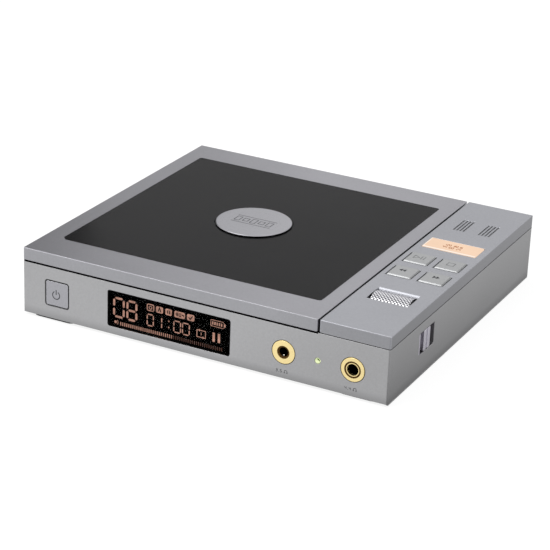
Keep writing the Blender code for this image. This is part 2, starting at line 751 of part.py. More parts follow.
def places(points, level=0.0):
    return [(x, y, level) for x, y in points]


def screw(name, place):
    """Countersunk screw that holds the cover and the part above its pillar to the case."""
    profile = [(0, SCREW_LENGTH), (SCREW_RADIUS, SCREW_LENGTH), (SCREW_RADIUS, SCREW_HEAD_HEIGHT),
               (SCREW_HEAD_RADIUS, 0), (0, 0)]
    return turned(name, profile, (*place, CASE_BASE), steps=SCREW_STEPS)


def screw_hole(name):
    """Hole for such a screw in the cover, a fit wider all round."""
    wide, narrow = SCREW_HEAD_RADIUS + FIT, SCREW_RADIUS + FIT
    profile = [(0, SCREW_LENGTH), (narrow, SCREW_LENGTH), (narrow, SCREW_HEAD_HEIGHT + FIT),
               (wide, FIT), (wide, -OVERRUN), (0, -OVERRUN)]
    return turned(name, profile, (0, 0, CASE_BASE), steps=SCREW_STEPS)


# Case

def case_shell():
    """Outer box with the disc bay, the control bay, the lid step and the cover's rabbet."""
    shell = block("main_case", (LEFT, FRONT, CASE_BASE), (RIGHT, REAR, DECK_SHELF))
    bevel(shell, [(CASE_EDGE, is_upright)])
    cut(shell,
        block("lid_step", (LEFT - OVERRUN, FRONT - OVERRUN, CASE_RIM),
              (STEP_X, REAR + OVERRUN, DECK_SHELF + OVERRUN)),
        block("bay_hollow", (INNER_LEFT, INNER_FRONT, CASE_BASE - OVERRUN),
              (INNER_RIGHT, INNER_REAR, DECK_SHELF + OVERRUN)),
        block("cover_rabbet",
              (INNER_LEFT - COVER_LEDGE, INNER_FRONT - COVER_LEDGE, CASE_BASE - OVERRUN),
              (INNER_RIGHT + COVER_LEDGE, INNER_REAR + COVER_LEDGE, WALL_BASE)))
    return shell


def case_insides(shell):
    """Divider, hinge rail, screw pillars and the posts that carry the tray's right side."""
    sunk = CASE_WALL / 2
    divider = block("divider", (DIVIDER_LEFT, FRONT + sunk, CASE_RIM - DIVIDER_DROP),
                    (STEP_X, REAR - sunk, CASE_RIM))
    divider_step = block("divider_step", (STEP_X, FRONT + sunk, CASE_RIM - DIVIDER_DROP),
                         (DIVIDER_RIGHT, REAR - sunk, DECK_SHELF))
    rail = block("hinge_rail", (LEFT + sunk, RAIL_FACE, CASE_RIM - RAIL_HEIGHT),
                 (DIVIDER_LEFT + sunk, REAR - sunk, CASE_RIM))
    fuse(shell, divider, divider_step, rail)
    pillar = rod("pillar", (0, 0, 0), PILLAR_RADIUS, WALL_BASE, PILLAR_TOP, steps=16)
    support = rod("support", (0, 0, 0), SUPPORT_RADIUS, WALL_BASE, TRAY_UNDER - FIT, steps=16)
    return fuse(shell, repeated("pillars", pillar, places(PILLARS)),
                repeated("supports", support, places(SUPPORTS)))


def hinge_cuts(shell):
    """Round the rear top edge about the hinge axis, and open a notch and pin bores per lug."""
    beyond = REAR + OVERRUN
    above = CASE_RIM + OVERRUN
    round_edge = arc((HINGE_Y, HINGE_LEVEL), HINGE_RADIUS, 0, math.pi / 2, 8)
    outline = [(beyond, HINGE_LEVEL)] + round_edge + [(HINGE_Y, above), (beyond, above)]
    cut(shell, plate("rear_round", [outline], LEFT - OVERRUN, STEP_X, "X"))
    for number, x in enumerate(LUG_CENTRES):
        half = LUG_WIDTH / 2 + LUG_GAP
        cut(shell,
            block(f"hinge_notch_{number}", (x - half, RAIL_FACE + RAIL_WALL, HINGE_LEVEL - HINGE_RADIUS),
                  (x + half, beyond, above)),
            rod(f"pin_bore_{number}", (x, HINGE_Y, HINGE_LEVEL), HINGE_PIN_RADIUS + FIT,
                -half - HINGE_PIN_GRIP - FIT, half + HINGE_PIN_GRIP + FIT, "X", 16))
    return shell


def face_cuts(shell):
    """Openings of the front, right and rear faces."""
    past, inside = FRONT - OVERRUN, INNER_FRONT + OVERRUN
    display = (DISPLAY_X, FACE_LEVEL)
    narrow = (DISPLAY_WIDTH - 2 * DISPLAY_LEDGE, DISPLAY_HEIGHT - 2 * DISPLAY_LEDGE)
    usb_corner = USB_HEIGHT / 2 + FIT
    cut(shell,
        plate("power_opening", [rounded((POWER_X, FACE_LEVEL), POWER_SIZE, POWER_SIZE, POWER_CORNER)],
              past, inside, "Y"),
        plate("display_recess", [rounded(display, DISPLAY_WIDTH, DISPLAY_HEIGHT, DISPLAY_CORNER)],
              past, FRONT + DISPLAY_GLASS + FIT, "Y"),
        plate("display_opening", [rounded(display, *narrow, DISPLAY_CORNER)], past, inside, "Y"),
        rod("jack_opening", (JACK_X, FRONT, FACE_LEVEL), JACK_RING_RADIUS + FIT,
            -CASE_WALL - OVERRUN, OVERRUN, "Y", JACK_STEPS),
        rod("balanced_opening", (DECK_LINE, FRONT, FACE_LEVEL), BALANCED_RING_RADIUS + FIT,
            -CASE_WALL - OVERRUN, OVERRUN, "Y", JACK_STEPS),
        rod("light_opening", (LIGHT_X, FRONT, FACE_LEVEL), LIGHT_RADIUS + FIT,
            -CASE_WALL - OVERRUN, OVERRUN, "Y", 16),
        plate("selector_opening", [rounded((SELECTOR_CENTRE_Y, SELECTOR_LEVEL), SELECTOR_SLOT,
                                           SELECTOR_HEIGHT, BUTTON_CORNER)],
              INNER_RIGHT - OVERRUN, RIGHT + OVERRUN, "X"),
        plate("usb_opening", [rounded((DECK_LINE, USB_LEVEL), USB_WIDTH + 2 * FIT,
                                      USB_HEIGHT + 2 * FIT, usb_corner)],
              INNER_REAR - OVERRUN, REAR + OVERRUN, "Y"))
    return shell


def pillar_bores(shell):
    """Through bores of the pillars, for the cover's screws."""
    bore = rod("pillar_bore", (0, 0, 0), SCREW_RADIUS + FIT, CASE_BASE, PILLAR_TOP + OVERRUN,
               steps=SCREW_STEPS)
    return cut(shell, repeated("pillar_bores", bore, places(PILLARS)))


def main_case():
    shell = case_insides(case_shell())
    paint(face_cuts(hinge_cuts(pillar_bores(shell))), "anodised_light")


def bottom_cover():
    """Cover in the case's rabbet, with the boards' standoffs and the power board's guides."""
    edge = COVER_LEDGE - FIT
    low = (INNER_LEFT - edge, INNER_FRONT - edge, CASE_BASE)
    high = (INNER_RIGHT + edge, INNER_REAR + edge, COVER_TOP)
    cover = block("bottom_cover", low, high)
    sunk = COVER_TOP - COVER_THICKNESS / 2
    standoff = rod("standoff", (0, 0, 0), STANDOFF_RADIUS, sunk, BOARD_BASE - FIT, steps=12)
    peg = rod("board_peg", (0, 0, 0), PEG_RADIUS, sunk, BOARD_TOP + PEG_REACH, steps=PEG_STEPS)
    fuse(cover, repeated("standoffs", standoff, places(STANDOFFS)),
         repeated("board_pegs", peg, places(STANDOFFS)))
    board = POWER_BOARD_FRONT + BOARD_THICKNESS / 2
    for side in (-1, 1):
        x = POWER_X + side * (POWER_BOARD_WIDTH - GUIDE_BLOCK) / 2
        half = BOARD_THICKNESS / 2 + FIT + BOARD_THICKNESS
        guide = block(f"guide_{side}", (x - GUIDE_BLOCK / 2, board - half, sunk),
                      (x + GUIDE_BLOCK / 2, board + half, COVER_TOP + GUIDE_BLOCK))
        fuse(cover, guide)
    slot = BOARD_THICKNESS / 2 + FIT
    cut(cover, block("guide_slot", (POWER_X - POWER_BOARD_WIDTH, board - slot, COVER_TOP),
                     (POWER_X + POWER_BOARD_WIDTH, board + slot, COVER_TOP + GUIDE_BLOCK + OVERRUN)))
    recess = plate("foot_recess", [foot_outline(FIT)], CASE_BASE - OVERRUN,
                   CASE_BASE + FOOT_SUNK + FIT)
    cut(cover, repeated("screw_holes", screw_hole("screw_hole"), places(PILLARS)),
        repeated("foot_recesses", recess, places(FOOT_PLACES.values())))
    paint(cover, "anodised")
    for side, (x, y) in zip(("front_left", "rear_left", "front_right", "rear_right"), PILLARS):
        paint(screw("bottom_screw_" + side, (x, y)), "steel")


def foot_outline(margin):
    return rounded((0, 0), FOOT_LENGTH + 2 * margin, FOOT_WIDTH + 2 * margin, FOOT_CORNER + margin)


FOOT_X = CASE_WIDTH / 2 - FOOT_SIDE_INSET - FOOT_LENGTH / 2
FOOT_Y = CASE_DEPTH / 2 - FOOT_FRONT_INSET - FOOT_WIDTH / 2
FOOT_PLACES = {
    "foot_front_left": (-FOOT_X, -FOOT_Y),
    "foot_front_right": (FOOT_X, -FOOT_Y),
    "foot_rear_left": (-FOOT_X, FOOT_Y),
    "foot_rear_right": (FOOT_X, FOOT_Y),
}


def feet():
    for name, (x, y) in FOOT_PLACES.items():
        outline = [(x + u, y + v) for u, v in foot_outline(0)]
        paint(plate(name, [outline], 0, CASE_BASE + FOOT_SUNK), "rubber")


# Lid

def lid_glass():
    """Flush smoked glass with a shallow seat for the badge."""
    low = (LEFT + GLASS_SIDE_BAND + FIT, FRONT + GLASS_FRONT_BAND + FIT)
    high = (LID_RIGHT - GLASS_RIGHT_BAND - FIT, REAR - GLASS_REAR_BAND - FIT)
    centre = ((low[0] + high[0]) / 2, (low[1] + high[1]) / 2)
    glass = plate("lid_glass", [rounded(centre, high[0] - low[0], high[1] - low[1], GLASS_CORNER)],
                  GLASS_BASE, LID_TOP)
    cut(glass, rod("badge_seat", (HUB_X, 0, LID_TOP), BADGE_DIAMETER / 2 + FIT,
                   -BADGE_SUNK - FIT, OVERRUN, steps=48))
    paint(set_origin(glass, (HUB_X, HINGE_Y, HINGE_LEVEL)), "smoked_glass")


def lid_badge():
    radius = BADGE_DIAMETER / 2
    profile = [(0, BADGE_PROUD), (radius - BADGE_CHAMFER, BADGE_PROUD),
               (radius, BADGE_PROUD - BADGE_CHAMFER), (radius, -BADGE_SUNK), (0, -BADGE_SUNK)]
    paint(turned("lid_badge", profile, (HUB_X, 0, LID_TOP), steps=48), "badge_metal")


def lid_frame():
    """Milled frame: glass recess on a ledge, hinge recesses with rivets, magnet and pad pockets."""
    frame = block("lid_frame", (LEFT, FRONT, LID_BASE), (LID_RIGHT, REAR, LID_TOP))
    bevel(frame, [(LID_CHAMFER, is_top), (CASE_EDGE, is_upright)])
    low = (LEFT + GLASS_SIDE_BAND, FRONT + GLASS_FRONT_BAND)
    high = (LID_RIGHT - GLASS_RIGHT_BAND, REAR - GLASS_REAR_BAND)
    centre = ((low[0] + high[0]) / 2, (low[1] + high[1]) / 2)
    width, depth = high[0] - low[0], high[1] - low[1]
    cut(frame,
        plate("glass_recess", [rounded(centre, width, depth, GLASS_CORNER)], LEDGE_TOP,
              LID_TOP + OVERRUN),
        plate("glass_opening", [rounded(centre, width - 2 * GLASS_LEDGE, depth - 2 * GLASS_LEDGE,
                                        GLASS_CORNER)], LID_BASE - OVERRUN, LID_TOP + OVERRUN))
    under = LID_BASE - OVERRUN
    web_rear = HINGE_Y + BARREL_RADIUS - LUG_REAR_STEP
    for number, x in enumerate(LUG_CENTRES):
        half = FLANGE_WIDTH / 2 + FIT
        cut(frame, block(f"flange_recess_{number}", (x - half, web_rear - FLANGE_DEPTH - FIT, under),
                         (x + half, web_rear + FIT, POCKET_TOP)))
    magnet = magnet_bar("magnet_pocket", under, LID_BASE + MAGNET_HEIGHT + FIT, FIT)
    bumper = rod("bumper_pocket", (0, 0, 0), BUMPER_RADIUS + FIT, under, LID_BASE + BUMPER_SUNK + FIT,
                 steps=16)
    cut(frame, magnet, repeated("bumper_pockets", bumper, places(BUMPER_PLACES)))
    rivet = rod("rivet", (0, 0, 0), PEG_RADIUS, LID_BASE + FIT, POCKET_TOP + FLANGE_THICKNESS / 2,
                steps=PEG_STEPS)
    fuse(frame, repeated("rivets", rivet, places(RIVET_PLACES)))
    paint(set_origin(frame, (HUB_X, HINGE_Y, HINGE_LEVEL)), "anodised")


def magnet_bar(name, low, high, margin):
    half = MAGNET_LENGTH / 2 + margin
    y = FRONT + MAGNET_INSET
    deep = MAGNET_WIDTH / 2 + margin
    return block(name, (HUB_X - half, y - deep, low), (HUB_X + half, y + deep, high))


BUMPER_PLACES = [(x, FRONT + BUMPER_INSET)
                 for x in (LEFT + BUMPER_SIDE_INSET, LID_RIGHT - BUMPER_SIDE_INSET)]
RIVET_Y = HINGE_Y - BARREL_RADIUS - SCREW_HEAD_RADIUS - FLANGE_THICKNESS
RIVET_PLACES = [(x + side * RIVET_SPREAD / 2, RIVET_Y) for x in LUG_CENTRES for side in (-1, 1)]


def lid_hinges():
    """Flanged lugs riveted under the lid, each with a barrel round its pin."""
    web_rear = HINGE_Y + BARREL_RADIUS - LUG_REAR_STEP
    flange_base = LID_BASE + FIT
    flange_top = flange_base + FLANGE_THICKNESS
    barrel = arc((HINGE_Y, HINGE_LEVEL), BARREL_RADIUS, math.pi, math.tau, 12)
    shoulder = LID_BASE - FIT
    outline = barrel + [(HINGE_Y + BARREL_RADIUS, shoulder), (web_rear, shoulder),
                        (web_rear, flange_base + FLANGE_THICKNESS / 2),
                        (HINGE_Y - BARREL_RADIUS, flange_base + FLANGE_THICKNESS / 2)]
    bore = circle((HINGE_Y, HINGE_LEVEL), HINGE_PIN_RADIUS + FIT, 16)
    for name, x in zip(("lid_hinge_left", "lid_hinge_right"), LUG_CENTRES):
        lug = plate(name, [outline, bore], x - LUG_WIDTH / 2, x + LUG_WIDTH / 2, "X")
        fuse(lug, block(name + "_flange", (x - FLANGE_WIDTH / 2, web_rear - FLANGE_DEPTH, flange_base),
                        (x + FLANGE_WIDTH / 2, web_rear, flange_top)))
        hole = rod(name + "_hole", (x, RIVET_Y, 0), PEG_RADIUS + FIT, flange_base - OVERRUN,
                   flange_top + OVERRUN, steps=PEG_STEPS)
        cut(lug, repeated(name + "_holes", hole, [(side * RIVET_SPREAD / 2, 0, 0) for side in (-1, 1)]))
        paint(set_origin(lug, (x, HINGE_Y, HINGE_LEVEL)), "steel")
    grip = LUG_WIDTH / 2 + LUG_GAP + HINGE_PIN_GRIP
    for name, x in zip(("hinge_pin_left", "hinge_pin_right"), LUG_CENTRES):
        paint(rod(name, (x, HINGE_Y, HINGE_LEVEL), HINGE_PIN_RADIUS, -grip, grip, "X", 16), "steel")


def lid_trim():
    """Bar magnets in the lid and tray, and the soft pads that the lid lands on."""
    paint(magnet_bar("lid_magnet", LID_BASE, LID_BASE + MAGNET_HEIGHT, 0), "steel")
    paint(magnet_bar("tray_magnet", TRAY_UNDER, TRAY_UNDER + MAGNET_HEIGHT, 0), "steel")
    for name, (x, y) in zip(("lid_bumper_left", "lid_bumper_right"), BUMPER_PLACES):
        pad = rod(name, (x, y, LID_BASE), BUMPER_RADIUS, FIT - LID_GAP, BUMPER_SUNK, steps=16)
        paint(pad, "rubber")


# Disc tray

def well_outline(margin):
    """Round well with a finger notch on each side of the disc, grown by a margin."""
    radius, finger = WELL_RADIUS + margin, FINGER_RADIUS + margin
    reach = WELL_RADIUS + FINGER_BITE - FINGER_RADIUS
    at_well = math.acos((radius**2 + reach**2 - finger**2) / (2 * radius * reach))
    at_finger = math.pi - math.acos((finger**2 + reach**2 - radius**2) / (2 * finger * reach))
    points = []
    for turn in (FINGER_ANGLE, FINGER_ANGLE + math.pi):
        centre = (HUB_X + reach * math.cos(turn), reach * math.sin(turn))
        points += arc(centre, finger, turn - at_finger, turn + at_finger, FINGER_STEPS)[:-1]
        points += arc((HUB_X, 0), radius, turn + at_well, turn + math.pi - at_well, WELL_STEPS // 2)[:-1]
    return points


def disc_tray():
    """Moulded tray: top plate, round well with two finger notches, and a slotted floor."""
    plan = rectangle((INNER_LEFT + FIT, INNER_FRONT + FIT), (DIVIDER_LEFT - FIT, RAIL_FACE - FIT))
    tray = plate("disc_tray", [plan], TRAY_UNDER, CASE_RIM)
    sunk = TRAY_UNDER + DECK_PLATE / 2
    fuse(tray, plate("well_tub", [well_outline(WELL_WALL)], WELL_BASE, sunk))
    screw_boss = rod("tray_boss", (0, 0, 0), BOSS_RADIUS, PILLAR_TOP + FIT, sunk, steps=16)
    fuse(tray, repeated("tray_bosses", screw_boss, places(TRAY_PILLARS)))
    cut(tray, plate("well_hollow", [well_outline(0)], WELL_FLOOR, CASE_RIM + OVERRUN))
    half = LENS_RIM_RADIUS + SLOT_CLEARANCE
    centre = (LENS_X + LENS_TRAVEL / 2, 0)
    under, over = WELL_BASE - OVERRUN, WELL_FLOOR + OVERRUN
    cut(tray, plate("lens_slot", [rounded(centre, LENS_TRAVEL + 2 * half, 2 * half, half, 8)], under, over),
        rod("hub_opening", (HUB_X, 0, 0), HUB_SLEEVE_RADIUS + WELL_WALL, under, over),
        magnet_bar("tray_magnet_pocket", TRAY_UNDER - OVERRUN, TRAY_UNDER + MAGNET_HEIGHT + FIT, FIT),
        screw_bores("tray_boss_bores", TRAY_PILLARS))
    floor = WELL_FLOOR - WELL_WALL / 2
    mount = rod("mount", (0, 0, 0), MOUNT_RADIUS, CHASSIS_TOP + FIT, floor, steps=12)
    stud = rod("stud", (0, 0, 0), STUD_RADIUS, CHASSIS_BASE - STUD_TAIL, floor, steps=12)
    fuse(tray, repeated("mounts", mount, places(CHASSIS_MOUNTS)),
         repeated("studs", stud, places(CHASSIS_MOUNTS)))
    paint(tray, "black_plastic")


def screw_bores(name, points):
    """Blind bores in the bosses above the pillars, as deep as the screws reach."""
    bore = rod(name + "_bore", (0, 0, 0), SCREW_RADIUS + FIT, PILLAR_TOP, CASE_BASE + SCREW_LENGTH + FIT,
               steps=SCREW_STEPS)
    return repeated(name, bore, places(points))


# Control deck

def control_deck():
    """Cap over the control bay, with button, panel, grille and wheel openings."""
    deck = block("control_deck", (DECK_LEFT, FRONT, LID_BASE), (RIGHT, REAR, LID_TOP))
    bevel(deck, [(LID_CHAMFER, is_top), (CASE_EDGE, is_upright)])
    cut(deck, block("deck_hollow", (DECK_LEFT + DECK_WALL, FRONT + DECK_WALL, LID_BASE - OVERRUN),
                    (RIGHT - DECK_WALL, REAR - DECK_WALL, DECK_UNDER)))
    sunk = DECK_UNDER + DECK_PLATE / 2
    boss = rod("deck_boss", (0, 0, 0), BOSS_RADIUS, PILLAR_TOP + FIT, sunk, steps=16)
    post = rod("board_post", (0, 0, 0), CONTROL_POST_RADIUS, CONTROL_BOARD_TOP + FIT, sunk, steps=12)
    peg = rod("deck_peg", (0, 0, 0), PEG_RADIUS, CONTROL_BOARD_BASE - PEG_REACH, sunk, steps=PEG_STEPS)
    fuse(deck, repeated("deck_bosses", boss, places(DECK_PILLARS)),
         repeated("board_posts", post, places(CONTROL_POSTS)),
         repeated("deck_pegs", peg, places(CONTROL_POSTS)))
    opening = BUTTON_SIZE + 2 * FIT
    under, over = DECK_UNDER - OVERRUN, LID_TOP + OVERRUN
    key = plate("key_opening", [rounded((0, 0), opening, opening, BUTTON_CORNER + FIT, 2)], under, over)
    cut(deck, repeated("key_openings", key, places(BUTTON_PLACES.values())),
        plate("panel_opening", [rounded(PANEL_PLACE, PANEL_WIDTH, PANEL_DEPTH, BUTTON_CORNER, 2)],
              under, over))
    slot = plate("grille_slot", [rectangle((-GRILLE_SLOT_WIDTH / 2, -GRILLE_SLOT_LENGTH / 2),
                                           (GRILLE_SLOT_WIDTH / 2, GRILLE_SLOT_LENGTH / 2))], under, over)
    middle = (GRILLE_SLOTS - 1) / 2
    slots = [(GRILLE_PLACE[0] + side * GRILLE_SPREAD / 2 + (number - middle) * GRILLE_PITCH, GRILLE_PLACE[1])
             for side in (-1, 1) for number in range(GRILLE_SLOTS)]
    cut(deck, repeated("grille_slots", slot, places(slots)), wheel_opening(), wheel_relief())
    cut(deck, screw_bores("deck_boss_bores", DECK_PILLARS))
    paint(deck, "anodised")


def wheel_opening():
    """Slot over the wheel, with a chamfer along its rear edge."""
    front, rear = WHEEL_SLOT_FRONT, WHEEL_SLOT_REAR
    outline = [(front, DECK_UNDER - OVERRUN), (rear - WHEEL_SLOT_CHAMFER, DECK_UNDER - OVERRUN),
               (rear - WHEEL_SLOT_CHAMFER, LID_TOP - WHEEL_SLOT_CHAMFER),
               (rear + OVERRUN, LID_TOP + OVERRUN), (front, LID_TOP + OVERRUN)]
    return plate("wheel_slot", [outline], DECK_LINE - WHEEL_SLOT_WIDTH / 2,
                 DECK_LINE + WHEEL_SLOT_WIDTH / 2, "X")


def wheel_relief():
    """Round relief under the plate that keeps the wheel free."""
    return rod("wheel_relief", (DECK_LINE, WHEEL_Y, WHEEL_LEVEL), WHEEL_CLEAR,
               -WHEEL_SLOT_WIDTH / 2, WHEEL_SLOT_WIDTH / 2, "X", 48)


def deck_buttons():
    """Square keys, each with a rim under the plate and a stem over its switch."""
    for name, (x, y) in BUTTON_PLACES.items():
        half = BUTTON_SIZE / 2
        cap = block(name, (x - half, y - half, FLANGE_BASE + BUTTON_FLANGE / 2),
                    (x + half, y + half, LID_TOP + BUTTON_PROUD))
        bevel(cap, [(BUTTON_CHAMFER, is_top), (BUTTON_CORNER, is_upright)])
        wide = half + BUTTON_RIM
        fuse(cap, block(name + "_rim", (x - wide, y - wide, FLANGE_BASE), (x + wide, y + wide, FLANGE_TOP)),
             rod(name + "_stem", (x, y, 0), STEM_RADIUS, STEM_BASE, FLANGE_TOP - BUTTON_FLANGE / 2,
                 steps=12))
        paint(cap, "anodised_light")


def light_panel():
    rim = PANEL_RIM
    panel = plate("light_panel", [rounded(PANEL_PLACE, PANEL_WIDTH - 2 * FIT, PANEL_DEPTH - 2 * FIT,
                                          BUTTON_CORNER, 2)],
                  FLANGE_TOP - PANEL_FLANGE / 2, LID_TOP + PANEL_PROUD)
    fuse(panel, plate("panel_rim", [rounded(PANEL_PLACE, PANEL_WIDTH + 2 * rim, PANEL_DEPTH + 2 * rim,
                                            BUTTON_CORNER, 2)], FLANGE_TOP - PANEL_FLANGE, FLANGE_TOP))
    paint(panel, "lit_label")


def grille_mesh():
    width = GRILLE_SPREAD + (GRILLE_SLOTS - 1) * GRILLE_PITCH + 2 * GRILLE_MESH_RIM
    depth = GRILLE_SLOT_LENGTH + 2 * GRILLE_MESH_RIM
    cloth = plate("grille_mesh", [rounded(GRILLE_PLACE, width, depth, BUTTON_CORNER, 2)],
                  FLANGE_TOP - GRILLE_MESH_THICKNESS, FLANGE_TOP)
    paint(cloth, "black_plastic")


def knurled_ring(name, radius, half_length, bore):
    """A wheel along Z whose rim is a diamond knurl: rings of peaks shifted by half a pitch."""
    around = 2 * KNURL_ROUND
    rings = [(-half_length, radius - KNURL_DEPTH - WHEEL_RIM)]
    run = half_length - WHEEL_RIM
    rings += [(-run + 2 * run * i / (2 * KNURL_ROWS), None) for i in range(2 * KNURL_ROWS + 1)]
    rings.append((half_length, radius - KNURL_DEPTH - WHEEL_RIM))
    rings += [(half_length, bore), (-half_length, bore)]
    work = bmesh.new()
    loops = []
    for number, (z, plain) in enumerate(rings):
        loop = []
        for step in range(around):
            size = plain or radius - (KNURL_DEPTH if (number + step) % 2 else 0)
            turn = math.tau * step / around
            loop.append(work.verts.new((size * math.cos(turn), size * math.sin(turn), z)))
        loops.append(loop)
    for number, loop in enumerate(loops):
        following = loops[(number + 1) % len(loops)]
        for step in range(around):
            after = (step + 1) % around
            corners = [loop[step], loop[after], following[after], following[step]]
            if number < len(rings) - 3 and (number + step) % 2 == 0:
                corners = corners[1:] + corners[:1]
            work.faces.new((corners[0], corners[1], corners[2]))
            work.faces.new((corners[0], corners[2], corners[3]))
    bmesh.ops.recalc_face_normals(work, faces=work.faces)
    mesh = bpy.data.meshes.new(name)
    work.to_mesh(mesh)
    work.free()
    wheel = bpy.data.objects.new(name, mesh)
    PLAYER.objects.link(wheel)
    return wheel


def volume_wheel():
    wheel = knurled_ring("volume_wheel", WHEEL_RADIUS, WHEEL_HALF, AXLE_RADIUS + FIT)
    wheel.matrix_world = Matrix.Translation((DECK_LINE, WHEEL_Y, WHEEL_LEVEL)) @ facing("X")
    paint(wheel, "steel")
    axle = rod("volume_axle", (DECK_LINE, WHEEL_Y, WHEEL_LEVEL), AXLE_RADIUS,
               -WHEEL_HALF - AXLE_END, WHEEL_HALF + ENCODER_CHEEK, "X", 16)
    paint(axle, "steel")


def volume_encoder():
    """Fork round the wheel: the housing with the contacts on the left, a bearing on the right."""
    left = DECK_LINE - WHEEL_HALF - FIT
    right = DECK_LINE + WHEEL_HALF + FIT
    bridge = WHEEL_Y - WHEEL_CLEAR
    rear = WHEEL_Y + ENCODER_HALF_DEPTH
    outline = [(left - ENCODER_HOUSING, ENCODER_FRONT), (right + ENCODER_CHEEK, ENCODER_FRONT),
               (right + ENCODER_CHEEK, rear), (right, rear), (right, bridge), (left, bridge),
               (left, rear), (left - ENCODER_HOUSING, rear)]
    fork = plate("volume_encoder", [outline], CONTROL_BOARD_TOP + FIT, FLANGE_TOP)
    cut(fork, rod("axle_bore", (DECK_LINE, WHEEL_Y, WHEEL_LEVEL), AXLE_RADIUS + FIT,
                  -WHEEL_HALF - AXLE_END - FIT, WHEEL_HALF + ENCODER_CHEEK + OVERRUN, "X", 16))
    paint(fork, "black_plastic")


# Front and side face

def power_button():
    """Flush square key in the front face, sprung towards the viewer."""
    side = POWER_SIZE - 2 * FIT
    centre = (POWER_X, FACE_LEVEL)
    cap = plate("power_button", [rounded(centre, side, side, POWER_CORNER - FIT)], FRONT,
                POWER_FACE + BUTTON_FLANGE / 2, "Y")
    wide = POWER_SIZE + 2 * BUTTON_RIM
    fuse(cap, plate("power_rim", [rounded(centre, wide, wide, POWER_CORNER)], POWER_FACE,
                    POWER_FACE + BUTTON_FLANGE, "Y"),
         rod("power_stem", (POWER_X, 0, FACE_LEVEL), STEM_RADIUS, -POWER_STEM_END,
             -POWER_FACE - BUTTON_FLANGE / 2, "Y", 12))
    paint(cap, "anodised_light")


def display():
    """Window in the front face, and the display module behind it on its board."""
    centre = (DISPLAY_X, FACE_LEVEL)
    window = plate("display_window", [rounded(centre, DISPLAY_WIDTH - 2 * FIT, DISPLAY_HEIGHT - 2 * FIT,
                                              DISPLAY_CORNER - FIT)], FRONT, FRONT + DISPLAY_GLASS, "Y")
    paint(window, "smoked_glass")
    width, height = DISPLAY_WIDTH - 4 * DISPLAY_LEDGE, DISPLAY_HEIGHT - 2 * DISPLAY_LEDGE
    front = INNER_FRONT + FIT
    rear = front + DISPLAY_MODULE_DEPTH
    module = block("display_module", (DISPLAY_X - width / 2, front, FACE_LEVEL - height / 2),
                   (DISPLAY_X + width / 2, rear, FACE_LEVEL + height / 2))
    edge = width / 2 + DISPLAY_LEDGE
    fuse(module, block("display_board", (DISPLAY_X - edge, rear - DISPLAY_BOARD, COVER_TOP + FIT),
                       (DISPLAY_X + edge, rear + DISPLAY_BOARD, FACE_LEVEL + DISPLAY_HEIGHT / 2)))
    paint(module, "grey_plastic")


def jack(name, x, ring, ring_bore, width, length, bore):
    """A gold collar in the front face and a socket body with its bore behind it."""
    inner = JACK_RING_DEPTH
    groove = (ring + ring_bore) / 2
    collar = turned(name + "_collar", [(ring, JACK_RING_PROUD), (ring, -inner), (ring_bore, -inner),
                                       (ring_bore, -JACK_RING_PROUD), (ring_bore + JACK_RING_PROUD, 0),
                                       (groove, JACK_RING_PROUD)],
                    (x, FRONT, FACE_LEVEL), "Y", JACK_STEPS, closed=True)
    paint(collar, "gold")
    front = max(INNER_FRONT, FRONT + inner) + FIT
    base = BOARD_TOP + FIT
    body = block(name + "_socket", (x - width / 2, front, base),
                 (x + width / 2, front + length, 2 * FACE_LEVEL - base))
    throat = ring_bore - FIT
    fuse(body, rod(name + "_throat", (x, 0, FACE_LEVEL), throat, -front - FIT * 2,
                   -FRONT - JACK_RING_DEPTH / 2, "Y", JACK_STEPS))
    cut(body, rod(name + "_bore", (x, 0, FACE_LEVEL), bore, -front - length + JACK_END_WALL,
                  -FRONT + OVERRUN, "Y", JACK_STEPS // 2))
    paint(body, "black_plastic")


def jacks():
    jack("jack_3_5", JACK_X, JACK_RING_RADIUS, JACK_RING_BORE, JACK_BODY_WIDTH, JACK_BODY_LENGTH,
         JACK_BORE)
    jack("jack_4_4", DECK_LINE, BALANCED_RING_RADIUS, BALANCED_RING_BORE, BALANCED_BODY_WIDTH,
         BALANCED_BODY_LENGTH, BALANCED_BORE)


def status_light():
    back = CASE_WALL + FIT
    profile = [(0, 0), (LIGHT_RADIUS, 0), (LIGHT_RADIUS, -back), (LIGHT_FLANGE_RADIUS, -back),
               (LIGHT_FLANGE_RADIUS, -back - LIGHT_FLANGE), (LIGHT_RADIUS, -back - LIGHT_FLANGE),
               (LIGHT_RADIUS, -back - LIGHT_LENGTH), (0, -back - LIGHT_LENGTH)]
    paint(turned("status_light", profile, (LIGHT_X, FRONT, FACE_LEVEL), "Y", 16), "lit_green")


